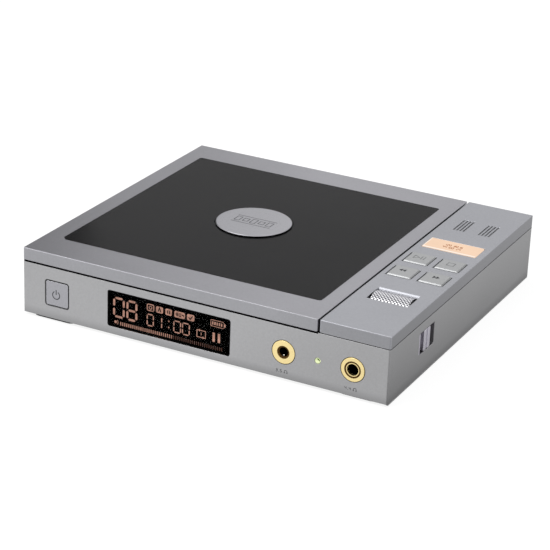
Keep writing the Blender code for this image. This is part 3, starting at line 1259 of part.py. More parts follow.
def selector():
    """Side slide: a grooved thumb piece on a plate behind the wall, and its switch."""
    plate_right = INNER_RIGHT - FIT
    plate_left = plate_right - SELECTOR_PLATE
    centre = (SELECTOR_CENTRE_Y, SELECTOR_LEVEL)
    height = SELECTOR_HEIGHT - 2 * FIT
    thumb = plate("selector_knob", [rounded(centre, SELECTOR_THUMB, height, BUTTON_CORNER, 2)],
                  plate_right - SELECTOR_PLATE / 2, RIGHT, "X")
    length = SELECTOR_SLOT + 2 * (SELECTOR_TRAVEL + SELECTOR_LAP)
    tall = SELECTOR_HEIGHT + 2 * SELECTOR_LAP
    fuse(thumb, plate("selector_plate", [rounded(centre, length, tall, BUTTON_CORNER, 2)], plate_left,
                      plate_right, "X"))
    lever = (SELECTOR_LEVEL - SELECTOR_HEIGHT / 2, SELECTOR_LEVEL - SELECTOR_HEIGHT / 2 + 2 * SELECTOR_LEVER)
    fuse(thumb, block("selector_lever", (plate_left - 2 * SELECTOR_LEVER, SELECTOR_CENTRE_Y - SELECTOR_LEVER,
                                         lever[0]),
                      (plate_left + SELECTOR_PLATE / 2, SELECTOR_CENTRE_Y + SELECTOR_LEVER, lever[1])))
    groove = SELECTOR_GROOVE / 2
    cut(thumb, block("thumb_groove", (RIGHT - SELECTOR_GROOVE_DEPTH, SELECTOR_CENTRE_Y - groove,
                                      SELECTOR_LEVEL - SELECTOR_HEIGHT),
                     (RIGHT + OVERRUN, SELECTOR_CENTRE_Y + groove, SELECTOR_LEVEL + SELECTOR_HEIGHT)))
    paint(thumb, "steel")
    body_right = plate_left - 2 * FIT
    half = SELECTOR_BODY_LENGTH / 2
    base = BOARD_TOP + FIT
    body = block("selector_switch", (body_right - SELECTOR_BODY_DEPTH, SELECTOR_CENTRE_Y - half, base),
                 (body_right, SELECTOR_CENTRE_Y + half, base + SELECTOR_BODY_HEIGHT))
    sweep = SELECTOR_TRAVEL + SELECTOR_LEVER + FIT
    cut(body, block("lever_slot", (plate_left - 2 * SELECTOR_LEVER - FIT, SELECTOR_CENTRE_Y - sweep,
                                   lever[0] - FIT),
                    (body_right + OVERRUN, SELECTOR_CENTRE_Y + sweep, lever[1] + FIT)))
    paint(body, "black_plastic")


# Boards, switches and battery

def peg_holes(name, points, low, high):
    """Cutter for a board's holes over its locating pegs."""
    hole = rod(name + "_hole", (0, 0, 0), PEG_RADIUS + FIT, low, high, steps=PEG_STEPS)
    return repeated(name, hole, places(points))


def main_board():
    """Board on the cover's standoffs, with its larger chips and a tab for the charging socket."""
    y = BOARD_HALF_DEPTH
    tab = (DECK_LINE - USB_TAB / 2, DECK_LINE + USB_TAB / 2)
    outline = [(BOARD_X[0], -y), (BOARD_X[1], -y), (BOARD_X[1], y), (tab[1], y),
               (tab[1], y + USB_TAB_REACH), (tab[0], y + USB_TAB_REACH), (tab[0], y), (BOARD_X[0], y)]
    board = plate("main_board", [outline], BOARD_BASE, BOARD_TOP)
    cut(board, peg_holes("main_peg_holes", STANDOFFS, BOARD_BASE - OVERRUN, BOARD_TOP + OVERRUN))
    clear = PILLAR_RADIUS + FIT
    for number, (x, pillar_y) in enumerate(DECK_PILLARS):
        cut(board, block(f"board_notch_{number}", (x - clear, pillar_y - clear, BOARD_BASE - OVERRUN),
                         (RIGHT, pillar_y + clear, BOARD_TOP + OVERRUN)))
    for number, (share, size_share) in enumerate(CHIP_SHARES):
        x = DECK_LINE - BUTTON_PITCH_X / 4
        size = DECK_WIDTH * size_share / 2
        middle = REAR * share
        fuse(board, block(f"chip_{number}", (x - size, middle - size, BOARD_BASE + BOARD_THICKNESS / 2),
                          (x + size, middle + size, BOARD_TOP + CHIP_HEIGHT)))
    paint(board, "board_green")


CHIP_SHARES = ((-0.12, 0.30), (0.14, 0.36), (0.40, 0.28), (0.60, 0.20))


def control_board():
    """Board under the deck with the keys' switches, cut out round the wheel."""
    front, rear = ENCODER_FRONT - CONTROL_BOARD_MARGIN, PANEL_REAR + CONTROL_BOARD_MARGIN
    left, right = DIVIDER_RIGHT + FIT, CONTROL_BOARD_RIGHT
    wheel_x = WHEEL_HALF + WHEEL_RELIEF
    under, over = CONTROL_BOARD_BASE - OVERRUN, CONTROL_BOARD_TOP + OVERRUN
    board = block("control_board", (left, front, CONTROL_BOARD_BASE), (right, rear, CONTROL_BOARD_TOP))
    cut(board, block("wheel_window", (DECK_LINE - wheel_x, WHEEL_Y - WHEEL_CLEAR, under),
                     (DECK_LINE + wheel_x, WHEEL_Y + WHEEL_CLEAR, over)),
        peg_holes("control_peg_holes", CONTROL_POSTS, under, over))
    body, plunger = tact_switch(CONTROL_BOARD_TOP)
    fuse(board, repeated("key_switches", body, places(BUTTON_PLACES.values())),
         repeated("key_plungers", plunger, places(BUTTON_PLACES.values())))
    paint(board, "board_green")


def tact_switch(level):
    """Body and plunger of a push switch soldered to a board whose face is at a level."""
    half = TACT_SIZE / 2
    foot = level - BOARD_THICKNESS / 2
    body = block("tact_body", (-half, -half, foot), (half, half, level + TACT_HEIGHT - TACT_PLUNGER))
    return body, rod("tact_plunger", (0, 0, 0), TACT_PLUNGER_RADIUS, level + TACT_HEIGHT / 2,
                     level + TACT_HEIGHT, steps=12)


def power_board():
    """Upright board in the cover's guides, with the switch behind the power key."""
    half = POWER_BOARD_WIDTH / 2
    face = POWER_BOARD_FRONT
    board = block("power_board", (POWER_X - half, face, COVER_TOP + FIT),
                  (POWER_X + half, face + BOARD_THICKNESS, COVER_TOP + FIT + POWER_BOARD_HEIGHT))
    size = TACT_SIZE / 2
    fuse(board, block("power_switch", (POWER_X - size, face - TACT_HEIGHT + TACT_PLUNGER, FACE_LEVEL - size),
                      (POWER_X + size, face + BOARD_THICKNESS / 2, FACE_LEVEL + size)),
         rod("power_plunger", (POWER_X, face, FACE_LEVEL), TACT_PLUNGER_RADIUS, TACT_HEIGHT / 2,
             TACT_HEIGHT, "Y", 12))
    paint(board, "board_green")


def battery():
    base = COVER_TOP + FIT
    ends = [y + side * (PILLAR_RADIUS + BATTERY_END_GAP) for side, (x, y) in zip((1, -1), TRAY_PILLARS)]
    cell = block("battery", (INNER_LEFT + BATTERY_LEFT, ends[0], base),
                 (CHASSIS_LEFT - BATTERY_GAP, ends[1], base + BATTERY_HEIGHT))
    bevel(cell, [(BATTERY_EDGE, lambda a, b: not is_upright(a, b) and abs(a.x - b.x) < WELD)])
    paint(cell, "cell_wrap")


def usb_c_socket():
    """Charging socket in the rear face: a rounded metal shell round a thin tongue."""
    centre = (DECK_LINE, USB_LEVEL)
    outer = rounded(centre, USB_WIDTH, USB_HEIGHT, USB_HEIGHT / 2 - USB_WALL / 2, 4)
    inner_size = (USB_WIDTH - 2 * USB_WALL, USB_HEIGHT - 2 * USB_WALL)
    inner = rounded(centre, *inner_size, inner_size[1] / 2 - USB_WALL / 2, 4)
    mouth = REAR - FIT
    back = mouth - USB_LENGTH
    shell = plate("usb_c_socket", [outer, inner], back, mouth, "Y")
    wide = USB_WIDTH / 2 - USB_TONGUE_INSET
    fuse(shell,
         block("usb_tongue", (DECK_LINE - wide, back + USB_TONGUE_INSET / 2, USB_LEVEL - USB_TONGUE / 2),
               (DECK_LINE + wide, mouth - USB_TONGUE_INSET, USB_LEVEL + USB_TONGUE / 2)),
         plate("usb_back", [rounded(centre, USB_WIDTH - USB_WALL, USB_HEIGHT - USB_WALL,
                                    inner_size[1] / 2, 4)],
               back + USB_WALL / 2, back + USB_TONGUE_INSET, "Y"))
    paint(shell, "steel")


# Drive under the well

def mech_chassis():
    """Sheet plate under the well that carries the motors, rods and gear pin."""
    front, rear = -CHASSIS_FRONT, CHASSIS_REAR
    outline = rectangle((CHASSIS_LEFT, front), (CHASSIS_RIGHT, rear))
    gap = SLOT_CLEARANCE + CLIP_GAP
    turret = rectangle((LENS_X - TURRET_TAIL - gap, -TURRET_HALF_WIDTH - gap),
                       (LENS_X + LENS_TRAVEL + SLED_NOSE + gap / 2, TURRET_HALF_WIDTH + gap))
    holes = [turret, circle((HUB_X, 0), HUB_SLEEVE_RADIUS + WELL_WALL, 24)]
    holes += [circle(place, STUD_RADIUS + FIT, 12) for place in CHASSIS_MOUNTS]
    sheet = plate("mech_chassis", [outline] + holes, CHASSIS_BASE, CHASSIS_TOP)
    sunk = CHASSIS_BASE + CHASSIS_THICKNESS / 2
    clip = block("rod_clip", (0, -CLIP_HALF_WIDTH, ROD_LEVEL - CLIP_HALF_WIDTH),
                 (CLIP_LENGTH, CLIP_HALF_WIDTH, sunk))
    clips = [(x, side * ROD_SPREAD, 0) for x in (CHASSIS_LEFT, CHASSIS_RIGHT - CLIP_LENGTH)
             for side in (-1, 1)]
    fuse(sheet, repeated("rod_clips", clip, clips),
         rod("gear_pin", (GEAR_X, GEAR_Y, 0), GEAR_PIN_RADIUS, LARGE_GEAR_BASE - GEAR_SINK, sunk, steps=12))
    bore = rod("rod_bore", (0, 0, ROD_LEVEL), ROD_RADIUS + FIT, CHASSIS_LEFT - OVERRUN,
               CHASSIS_RIGHT + OVERRUN, "X", 12)
    cut(sheet, repeated("rod_bores", bore, [(0, side * ROD_SPREAD, 0) for side in (-1, 1)]))
    paint(sheet, "steel")
    for name, y in (("guide_rod_front", -ROD_SPREAD), ("guide_rod_rear", ROD_SPREAD)):
        paint(rod(name, (0, y, ROD_LEVEL), ROD_RADIUS, CHASSIS_LEFT, CHASSIS_RIGHT, "X", 12), "steel")


def spindle():
    """Disc motor with its shaft, and the hub with three catches that hold the disc."""
    top = CHASSIS_BASE - FIT
    shaft_bore = SPINDLE_SHAFT_RADIUS + FIT
    bottom = top - SPINDLE_MOTOR_HEIGHT
    can = turned("spindle_motor", [(SPINDLE_MOTOR_RADIUS, top), (SPINDLE_MOTOR_RADIUS, bottom),
                                   (shaft_bore, bottom), (shaft_bore, top)],
                 (HUB_X, 0, 0), steps=32, closed=True)
    paint(can, "steel")
    nose = (DISC_HOLE - HUB_NOSE_SLACK) / 2
    nose_top = DISC_SEAT + HUB_NOSE_HEIGHT
    platform = DISC_SEAT - HUB_PLATFORM
    hub = turned("spindle_hub", [(nose - HUB_CHAMFER, nose_top), (nose, nose_top - HUB_CHAMFER),
                                 (nose, DISC_SEAT), (HUB_PLATFORM_RADIUS, DISC_SEAT),
                                 (HUB_PLATFORM_RADIUS, platform), (HUB_SLEEVE_RADIUS, platform),
                                 (HUB_SLEEVE_RADIUS, CHASSIS_TOP + FIT), (shaft_bore, CHASSIS_TOP + FIT),
                                 (shaft_bore, nose_top)], (HUB_X, 0, 0), steps=36, closed=True)
    level = DISC_TOP + CATCH_LIFT
    reach = nose + CATCH_PROUD - CATCH_RADIUS
    spots = [(HUB_X + reach * math.cos(math.tau * n / HUB_CATCHES),
              reach * math.sin(math.tau * n / HUB_CATCHES), level) for n in range(HUB_CATCHES)]
    fuse(hub, repeated("catches", ball("catch", CATCH_RADIUS), spots))
    paint(hub, "black_plastic")
    shaft = rod("spindle_shaft", (HUB_X, 0, 0), SPINDLE_SHAFT_RADIUS, bottom + FIT, nose_top - FIT,
                steps=16)
    paint(shaft, "steel")


def ball(name, radius):
    work = bmesh.new()
    bmesh.ops.create_uvsphere(work, u_segments=12, v_segments=8, radius=radius)
    mesh = bpy.data.meshes.new(name)
    work.to_mesh(mesh)
    work.free()
    solid = bpy.data.objects.new(name, mesh)
    PLAYER.objects.link(solid)
    return solid


def pickup():
    """Sled on the two rods, its lens and the rack along its front side."""
    x = LENS_X
    sled = block("pickup_sled", (x - SLED_TAIL, -SLED_HALF_WIDTH, SLED_BASE),
                 (x + SLED_NOSE, SLED_HALF_WIDTH, SLED_TOP))
    lens_base = WELL_BASE
    fuse(sled, block("turret", (x - TURRET_TAIL, -TURRET_HALF_WIDTH, SLED_TOP - SLED_HEIGHT / 2),
                     (x + SLED_NOSE, TURRET_HALF_WIDTH, lens_base - FIT)))
    bore = rod("sled_bore", (x, 0, ROD_LEVEL), ROD_RADIUS + FIT, -SLED_TAIL - OVERRUN,
               SLED_NOSE + OVERRUN, "X", 12)
    cut(sled, repeated("sled_bores", bore, [(0, side * ROD_SPREAD, 0) for side in (-1, 1)]))
    paint(sled, "black_plastic")
    rim = [(0, LENS_HEIGHT), (LENS_RADIUS, LENS_HEIGHT * 2 / 3), (LENS_RIM_RADIUS, LENS_HEIGHT * 2 / 3),
           (LENS_RIM_RADIUS, 0), (0, 0)]
    paint(turned("pickup_lens", rim, (x, 0, lens_base), steps=24), "lens_glass")
    rack = plate("sled_rack", [rack_outline()], ROD_LEVEL - RACK_HEIGHT / 2, ROD_LEVEL + RACK_HEIGHT / 2)
    paint(rack, "gear_nylon")


def gear_train():
    """Two-step gear on its pin, and the feed motor with its pinion."""
    at_rack = math.pi / 2
    large = gear_outline(LARGE_GEAR_TEETH, PINION_ANGLE)
    small = gear_outline(SMALL_GEAR_TEETH, at_rack)
    gear = plate("feed_gear", [large], LARGE_GEAR_BASE, LARGE_GEAR_TOP)
    fuse(gear, plate("small_gear", [small], LARGE_GEAR_TOP - LARGE_GEAR_WIDTH / 2, SLED_TOP - FIT))
    cut(gear, rod("gear_bore", (0, 0, 0), GEAR_PIN_RADIUS + FIT, LARGE_GEAR_BASE - OVERRUN,
                  SLED_TOP + OVERRUN, steps=12))
    middle = Vector((GEAR_X, GEAR_Y, 0))
    bpy.context.view_layer.update()
    for piece in (gear, *(bpy.data.objects[name] for name in ("small_gear", "gear_bore"))):
        piece.location += middle
    paint(gear, "gear_nylon")
    gap_to_gear = PINION_ANGLE + math.pi + math.pi / PINION_TEETH
    pinion = plate("motor_pinion", [gear_outline(PINION_TEETH, gap_to_gear)], LARGE_GEAR_BASE, LARGE_GEAR_TOP)
    can_top = CHASSIS_BASE - FIT
    can_base = LARGE_GEAR_TOP + FEED_MOTOR_CLEARANCE
    fuse(pinion, rod("motor_shaft", (0, 0, 0), FEED_MOTOR_SHAFT, LARGE_GEAR_BASE + LARGE_GEAR_WIDTH / 2,
                     can_top - FIT, steps=12))
    bpy.context.view_layer.update()
    for piece in (pinion, bpy.data.objects["motor_shaft"]):
        piece.location += Vector((PINION_X, PINION_Y, 0))
    paint(pinion, "brass")
    bore = FEED_MOTOR_SHAFT + FIT
    motor = turned("feed_motor", [(FEED_MOTOR_RADIUS, can_top), (FEED_MOTOR_RADIUS, can_base),
                                  (bore, can_base), (bore, can_top)], (PINION_X, PINION_Y, 0), steps=24,
                   closed=True)
    paint(motor, "steel")


def build():
    main_case()
    bottom_cover()
    feet()
    disc_tray()
    control_deck()
    deck_buttons()
    light_panel()
    grille_mesh()
    volume_wheel()
    volume_encoder()
    power_button()
    display()
    jacks()
    status_light()
    selector()
    main_board()
    control_board()
    power_board()
    battery()
    usb_c_socket()
    mech_chassis()
    spindle()
    pickup()
    gear_train()
    lid_frame()
    lid_glass()
    lid_badge()
    lid_hinges()
    lid_trim()
    bpy.context.view_layer.update()


build()
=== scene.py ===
"""Portable cd player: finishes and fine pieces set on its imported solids, one operator for each group."""
import math

import bpy
from mathutils import Matrix, Vector


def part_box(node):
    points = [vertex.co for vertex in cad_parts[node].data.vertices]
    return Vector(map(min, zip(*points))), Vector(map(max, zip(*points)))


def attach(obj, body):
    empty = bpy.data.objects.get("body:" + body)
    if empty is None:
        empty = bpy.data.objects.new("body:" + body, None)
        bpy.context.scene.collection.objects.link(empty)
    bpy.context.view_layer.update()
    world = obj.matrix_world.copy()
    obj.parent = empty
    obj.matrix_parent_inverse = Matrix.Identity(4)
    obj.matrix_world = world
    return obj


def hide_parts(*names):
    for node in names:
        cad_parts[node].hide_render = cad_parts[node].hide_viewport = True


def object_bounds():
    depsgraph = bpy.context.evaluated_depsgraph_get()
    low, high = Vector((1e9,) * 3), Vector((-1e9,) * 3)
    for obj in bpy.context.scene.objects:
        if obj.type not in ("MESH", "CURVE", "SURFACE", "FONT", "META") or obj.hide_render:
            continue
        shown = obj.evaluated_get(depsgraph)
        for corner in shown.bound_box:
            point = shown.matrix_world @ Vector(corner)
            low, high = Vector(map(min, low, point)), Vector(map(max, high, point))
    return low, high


bl_info = {
    "name": "Portable CD Player Looks",
    "version": (1, 0, 0),
    "blender": (4, 5, 0),
    "location": "View3D > Sidebar > Player",
    "description": "Finishes and fine pieces of a portable cd player, set on its packed solids",
    "category": "Object",
}

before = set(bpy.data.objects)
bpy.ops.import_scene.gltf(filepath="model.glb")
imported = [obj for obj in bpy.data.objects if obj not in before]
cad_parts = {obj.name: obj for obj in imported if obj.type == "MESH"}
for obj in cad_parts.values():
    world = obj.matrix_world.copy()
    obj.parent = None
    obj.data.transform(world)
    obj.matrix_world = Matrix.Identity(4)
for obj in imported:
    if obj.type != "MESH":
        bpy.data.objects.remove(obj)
SOLID_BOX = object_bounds()

MM = 0.001
ACROSS = Vector((1, 0, 0))
DEEP = Vector((0, 1, 0))
UP = Vector((0, 0, 1))
CORNERS = ((-1, -1), (1, -1), (1, 1), (-1, 1))


# Settings

def colour_of(name, description, default):
    """A colour setting, in linear light."""
    return bpy.props.FloatVectorProperty(
        name=name, description=description, subtype="COLOR", size=3, min=0, max=1, default=default)


def length_of(name, description, default):
    """A length setting, in metres."""
    return bpy.props.FloatProperty(
        name=name, description=description, default=default, min=0, unit="LENGTH", precision=5)


def angle_of(name, description, degrees):
    """An angle setting."""
    return bpy.props.FloatProperty(
        name=name, description=description, unit="ROTATION", default=math.radians(degrees))


def number_of(name, description, default, top=1):
    """A plain number from nought."""
    return bpy.props.FloatProperty(name=name, description=description, default=default, min=0, max=top)


def count_of(name, description, default):
    """A whole number from one."""
    return bpy.props.IntProperty(name=name, description=description, default=default, min=1)


class PlayerFinishes(bpy.types.PropertyGroup):
    """Colours and roughness of what shows."""
    case_metal: colour_of("Case metal", "Blasted metal of the case", (0.40, 0.40, 0.408))
    deck_metal: colour_of("Deck metal", "Blasted metal of the control strip", (0.395, 0.40, 0.43))
    # Deck side and lid side are darker copies of the deck and lid metal: painted shade on the sides.
    deck_side_shade: colour_of("Deck side", "Drawn metal round the strip's edge", (0.316, 0.318, 0.337))
    lid_metal: colour_of("Lid metal", "Blasted metal of the lid's frame", (0.37, 0.367, 0.394))
    lid_side_shade: colour_of("Lid side", "Drawn metal round the lid's edge", (0.342, 0.343, 0.362))
    key_metal: colour_of("Key metal", "Metal of the four keys", (0.41, 0.415, 0.42))
    power_metal: colour_of("Power key metal", "Metal of the power key", (0.37, 0.37, 0.395))
    badge_metal: colour_of("Badge metal", "Turned metal of the round badge", (0.40, 0.398, 0.425))
    # Wheel tops and grooves are lighter and darker copies of one metal: painted highlight and painted shade.
    wheel_top_highlight: colour_of("Wheel metal", "Cut tops of the volume wheel", (0.96, 0.96, 0.98))
    wheel_groove_shade: colour_of("Wheel grooves", "Ground between the diamonds", (0.30, 0.295, 0.34))
    gold: colour_of("Gold", "Gold plate of the sockets", (1.0, 0.78, 0.385))
    smoked_glass: colour_of("Smoked glass", "Tint of the lid's glass", (0.028, 0.0275, 0.029))
    label: colour_of("Label light", "Light of the label window", (0.915, 0.66, 0.48))
    label_ink: colour_of("Label ink", "Marks on the label window", (0.46, 0.17, 0.07))
    segment: colour_of("Segments", "Lit marks of the display", (0.52, 0.28, 0.21))
    dim_segment: colour_of("Dim segments", "Unlit marks of the display", (0.085, 0.042, 0.032))
    status_light: colour_of("Status light", "Light beside the sockets", (0.74, 0.89, 0.48))
    # Also colours the badge's undercut edge, as painted shade.
    engraving_and_edge_shade: colour_of("Engraving", "Engraved marks on the metal", (0.06, 0.06, 0.065))
    black_plastic: colour_of("Black plastic", "Moulded black plastic", (0.022, 0.022, 0.024))
    rubber: colour_of("Rubber", "Feet and pads", (0.016, 0.016, 0.017))
    steel: colour_of("Steel", "Pins, screws and rods", (0.50, 0.50, 0.51))
    slide_metal: colour_of("Slide metal", "Thumb of the side slide", (0.64, 0.62, 0.69))
    metal_roughness: number_of("Metal roughness", "Roughness of the blasted metal", 0.36)


class PlayerDetails(bpy.types.PropertyGroup):
    """Sizes of the fine pieces."""
    mark_height: length_of("Mark height", "How far a printed mark stands on its face", 0.00001)
    knurl_depth: length_of("Knurl depth", "Depth of the wheel's diamonds", 0.00028)
    knurl_pitch: length_of("Knurl pitch", "Distance between the wheel's diamonds", 0.00138)
    key_chamfer: length_of("Key chamfer", "Chamfer round the top of a key", 0.00048)
    segment_height: length_of("Segment height", "Thickness of a display mark", 0.00004)
    tick_count: count_of("Ticks", "Ticks of the display's bar", 50)
    lit_ticks: count_of("Lit ticks", "Ticks that are lit", 26)


class PlayerStage(bpy.types.PropertyGroup):
    """Camera and light."""
    camera_place: bpy.props.FloatVectorProperty(
        name="Camera place", description="Where the camera stands", subtype="XYZ", unit="LENGTH", size=3,
        default=(0.34472, -0.69866, 0.34036))
    azimuth: angle_of("Azimuth", "Turn round the player", 26.546)
    elevation: angle_of("Elevation", "Height over the horizon", 23.045)
    roll: angle_of("Roll", "Tilt of the picture", 2.3)
    lens: number_of("Lens", "Focal length on a 36 mm sensor, in millimetres", 134.56, 400)
    room_light: number_of("Room light", "Strength of the room's even light", 0.72, 4)
    key_power: number_of("Key power", "Watts of the main soft light", 3.4, 400)
    fill_power: number_of("Fill power", "Watts of the second soft light", 0.8, 400)


def details():
    """The sizes that are set in the panel."""
    return bpy.context.scene.player_details


# Node helpers

class Recipe:
    """The nodes of a material or of the world."""

    def __init__(self, owner, shader="Principled BSDF"):
        owner.use_nodes = True
        self.owner, self.tree = owner, owner.node_tree
        self.shader = self.tree.nodes[shader]
        self.place = self.tree.nodes.new("ShaderNodeTexCoord").outputs["Object"]
        self.rounded = None

    def put(self, value, socket):
        """Links another socket to this one, or sets a plain value on it."""
        if isinstance(value, bpy.types.NodeSocket):
            self.tree.links.new(value, socket)
        else:
            socket.default_value = value

    def node(self, kind, values, **settings):
        """A node with its settings, and with its values and links by the names of its sockets."""
        made = self.tree.nodes.new(kind)
        for key, value in settings.items():
            setattr(made, key, value)
        for key, value in values.items():
            self.put(value, made.inputs[key])
        return made

    def set(self, **values):
        """Values and links of the shader's own sockets."""
        for key, value in values.items():
            self.put(value, self.shader.inputs[key.replace("_", " ")])

    def stretched(self, scale):
        """Object coordinates with each axis scaled, for brushed grain."""
        return self.node("ShaderNodeMapping", {"Vector": self.place, "Scale": scale}).outputs["Vector"]

    def noise(self, scale, detail=2.0, roughness=0.5, vector=None):
        """Grey noise from nought to one; scale is in grains for each metre."""
        values = {"Vector": vector or self.place, "Scale": scale, "Detail": detail, "Roughness": roughness}
        return self.node("ShaderNodeTexNoise", values, noise_dimensions="3D").outputs["Fac"]

    def spread(self, socket, low, high, start=0.3, end=0.7):
        """Maps a grey value onto a range."""
        values = {"Value": socket, "From Min": start, "From Max": end, "To Min": low, "To Max": high}
        return self.node("ShaderNodeMapRange", values).outputs["Result"]

    def blend(self, share, first, second):
        """Mixes two colours by a share."""
        return self.node("ShaderNodeMix", {0: share, 6: first, 7: second}, data_type="RGBA").outputs[2]

    def tones(self, grain, colour, low, high):
        """One colour in two strengths, by a grey grain."""
        return self.blend(self.spread(grain, 0.0, 1.0), rgba(colour, low), rgba(colour, high))

    def grained(self, grain, colours, roughness):
        """Base colour and roughness that follow the same grey grain."""
        self.set(Base_Color=self.blend(self.spread(grain, 0.0, 1.0), *colours),
                 Roughness=self.spread(grain, *roughness))

    def reckon(self, first, second, operation="MULTIPLY"):
        """Plain arithmetic on two grey values."""
        return self.node("ShaderNodeMath", {0: first, 1: second}, operation=operation).outputs[0]

    def vector(self, first, second, operation, output="Vector"):
        """Arithmetic on two vectors."""
        return self.node("ShaderNodeVectorMath", {0: first, 1: second}, operation=operation).outputs[output]

    def bump(self, socket, strength, distance):
        """Turns a grey value into relief on the shader, over its rounded edges if it has them."""
        values = {"Height": socket, "Strength": strength, "Distance": distance}
        if self.rounded:
            values["Normal"] = self.rounded
        self.set(Normal=self.node("ShaderNodeBump", values).outputs["Normal"])

    def edges(self, radius):
        """Rounds the shading of edges; gives nought on flat ground and one along an edge, where finishes
        lighten the colour for wear and a painted highlight.
        """
        self.rounded = self.node("ShaderNodeBevel", {"Radius": radius}, samples=6).outputs["Normal"]
        flat = self.node("ShaderNodeNewGeometry", {}).outputs["Normal"]
        return self.spread(self.vector(self.rounded, flat, "DOT_PRODUCT", "Value"), 1.0, 0.0, 0.80, 0.995)

    def seen(self):
        """One for rays that look at the background: from the camera, in gloss and through glass."""
        rays = self.node("ShaderNodeLightPath", {}).outputs
        share = self.reckon(rays["Is Camera Ray"], rays["Is Glossy Ray"], "MAXIMUM")
        return self.reckon(share, rays["Is Transmission Ray"], "MAXIMUM")


def new_recipe(name):
    """A new material, to be built up."""
    return Recipe(bpy.data.materials.new(name))


def rgba(colour, gain=1.0):
    """A colour as a node's four numbers."""
    return (*(min(1.0, part * gain) for part in colour), 1.0)


def grey(value):
    """A grey as a node's four numbers."""
    return (value, value, value, 1.0)


def box_of(node):
    """Lowest corner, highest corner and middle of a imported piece."""
    low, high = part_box(node)
    return low, high, (low + high) / 2


# Materials

def blasted_metal(made, colour, roughness, edge=0.0004, foot_shade=None):
    """Fine bead-blasted and anodised metal: a soft grain, faint clouds and brighter edges, which are partly
    wear and partly painted highlight.

    The foot shade is the height range in which the metal is painted darker towards its lower edge: painted
    shade, for the reflection of the shadowed floor."""
    clouds, fine, coarse = made.noise(28, 3), made.noise(2600, 2, 0.6), made.noise(1100, 2, 0.6)
    tone = made.reckon(made.spread(clouds, -0.3, 0.3), made.spread(coarse, -0.35, 0.35), "ADD")
    tone = made.spread(made.reckon(tone, made.spread(fine, -0.5, 0.5), "ADD"), 0.0, 1.0, -0.8, 0.8)
    base = made.blend(tone, rgba(colour, 0.925), rgba(colour, 1.075))
    # Painted shade: darker towards the lower edge.
    if foot_shade:
        height = made.node("ShaderNodeSeparateXYZ", {"Vector": made.place}).outputs["Z"]
        base = made.blend(made.spread(height, 0.0, 1.0, *foot_shade), rgba(colour, 0.76), base)
    worn_and_highlit = made.edges(edge)
    satin = made.spread(fine, roughness - 0.04, roughness + 0.05)
    # Edges lighter: partly wear, partly painted highlight; the case keeps its colour there.
    made.set(Base_Color=made.blend(worn_and_highlit, base, rgba(colour, 1.0 if foot_shade else 1.45)), Metallic=1.0,
             Roughness=made.reckon(satin, made.spread(worn_and_highlit, 1.0, 0.72, 0.0, 1.0)))
    made.bump(fine, 0.12, 0.00002)


def polished_metal(made, colour, roughness):
    """Turned or drawn metal with hairline marks along one way."""
    hair, haze = made.noise(1, 4, 0.7, made.stretched((3800, 130, 3800))), made.noise(300, 2)
    gloss = made.spread(hair, roughness - 0.04, roughness + 0.06)
    made.set(Base_Color=made.tones(hair, colour, 0.90, 1.08), Metallic=1.0,
             Roughness=made.reckon(gloss, made.spread(haze, 0.9, 1.15)))
    made.bump(hair, 0.08, 0.00001)


def turned_metal(made, colour, roughness, node):
    """Metal faced on a lathe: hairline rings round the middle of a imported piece."""
    moved = made.vector(made.place, box_of(node)[2], "SUBTRACT")
    radius = made.vector(made.vector(moved, (1, 1, 0), "MULTIPLY"), (0, 0, 0), "LENGTH", "Value")
    rings = made.noise(5200, 3, 0.6, made.node("ShaderNodeCombineXYZ", {"X": radius}).outputs["Vector"])
    worn_and_highlit, gloss = made.edges(0.0003), made.spread(rings, roughness - 0.04, roughness + 0.05)
    # Edges lighter: partly wear, partly painted highlight.
    made.set(Base_Color=made.blend(worn_and_highlit, made.tones(rings, colour, 0.93, 1.06), rgba(colour, 1.35)),
             Metallic=1.0, Roughness=made.reckon(gloss, made.spread(made.noise(2400, 2), 0.92, 1.1)))
    made.bump(rings, 0.06, 0.00001)


def moulded_plastic(made, colour, roughness=0.5, grain=2200, relief=0.25):
    """Moulded plastic with the fine spark texture of its tool and paler edges, partly wear and partly painted
    highlight.
    """
    spark, base = made.noise(grain, 3, 0.65), made.tones(made.noise(60, 2), colour, 0.85, 1.2)
    made.set(Base_Color=made.blend(made.edges(0.00025), base, rgba(colour, 1.9)),
             Roughness=made.spread(spark, roughness - 0.07, roughness + 0.08))
    made.bump(spark, relief, 0.00004)


def rubber_finish(made, colour):
    """Soft black rubber with a dusty bloom."""
    dust, pores = made.noise(420, 4, 0.7), made.noise(5200, 2)
    made.set(Base_Color=made.blend(made.spread(dust, 0.0, 0.5), rgba(colour), rgba(colour, 2.6)),
             Roughness=made.spread(pores, 0.72, 0.92))
    made.bump(pores, 0.3, 0.00003)


def tinted_glass(made, colour, through, ior, roughness):
    """Dark glass: a smear of haze in its gloss and a faint unevenness in its tint."""
    haze, dust = made.noise(45, 3), made.noise(900, 2)
    gloss = made.spread(haze, roughness * 0.8, roughness * 1.25)
    made.set(Base_Color=made.tones(haze, colour, 0.93, 1.07), Transmission_Weight=through, IOR=ior,
             Roughness=made.reckon(gloss, made.spread(dust, 0.95, 1.1)))


def lit_finish(made, colour, change, scale):
    """A surface that gives light, a little uneven over its area."""
    made.set(Emission_Color=made.tones(made.noise(scale, 2), colour, 1 - change, 1 + change),
             Base_Color=grey(0.01), Roughness=0.6, Emission_Strength=1.0, IOR=1.1)


def ink_finish(made, colour, roughness=0.5):
    """Printed or engraved marks: thin ink with a little of the ground coming through."""
    grain = made.noise(3600, 2)
    made.grained(grain, (rgba(colour, 0.8), rgba(colour, 1.25)), (roughness - 0.1, roughness + 0.1))
    made.set(IOR=1.15)
    made.bump(grain, 0.1, 0.00001)


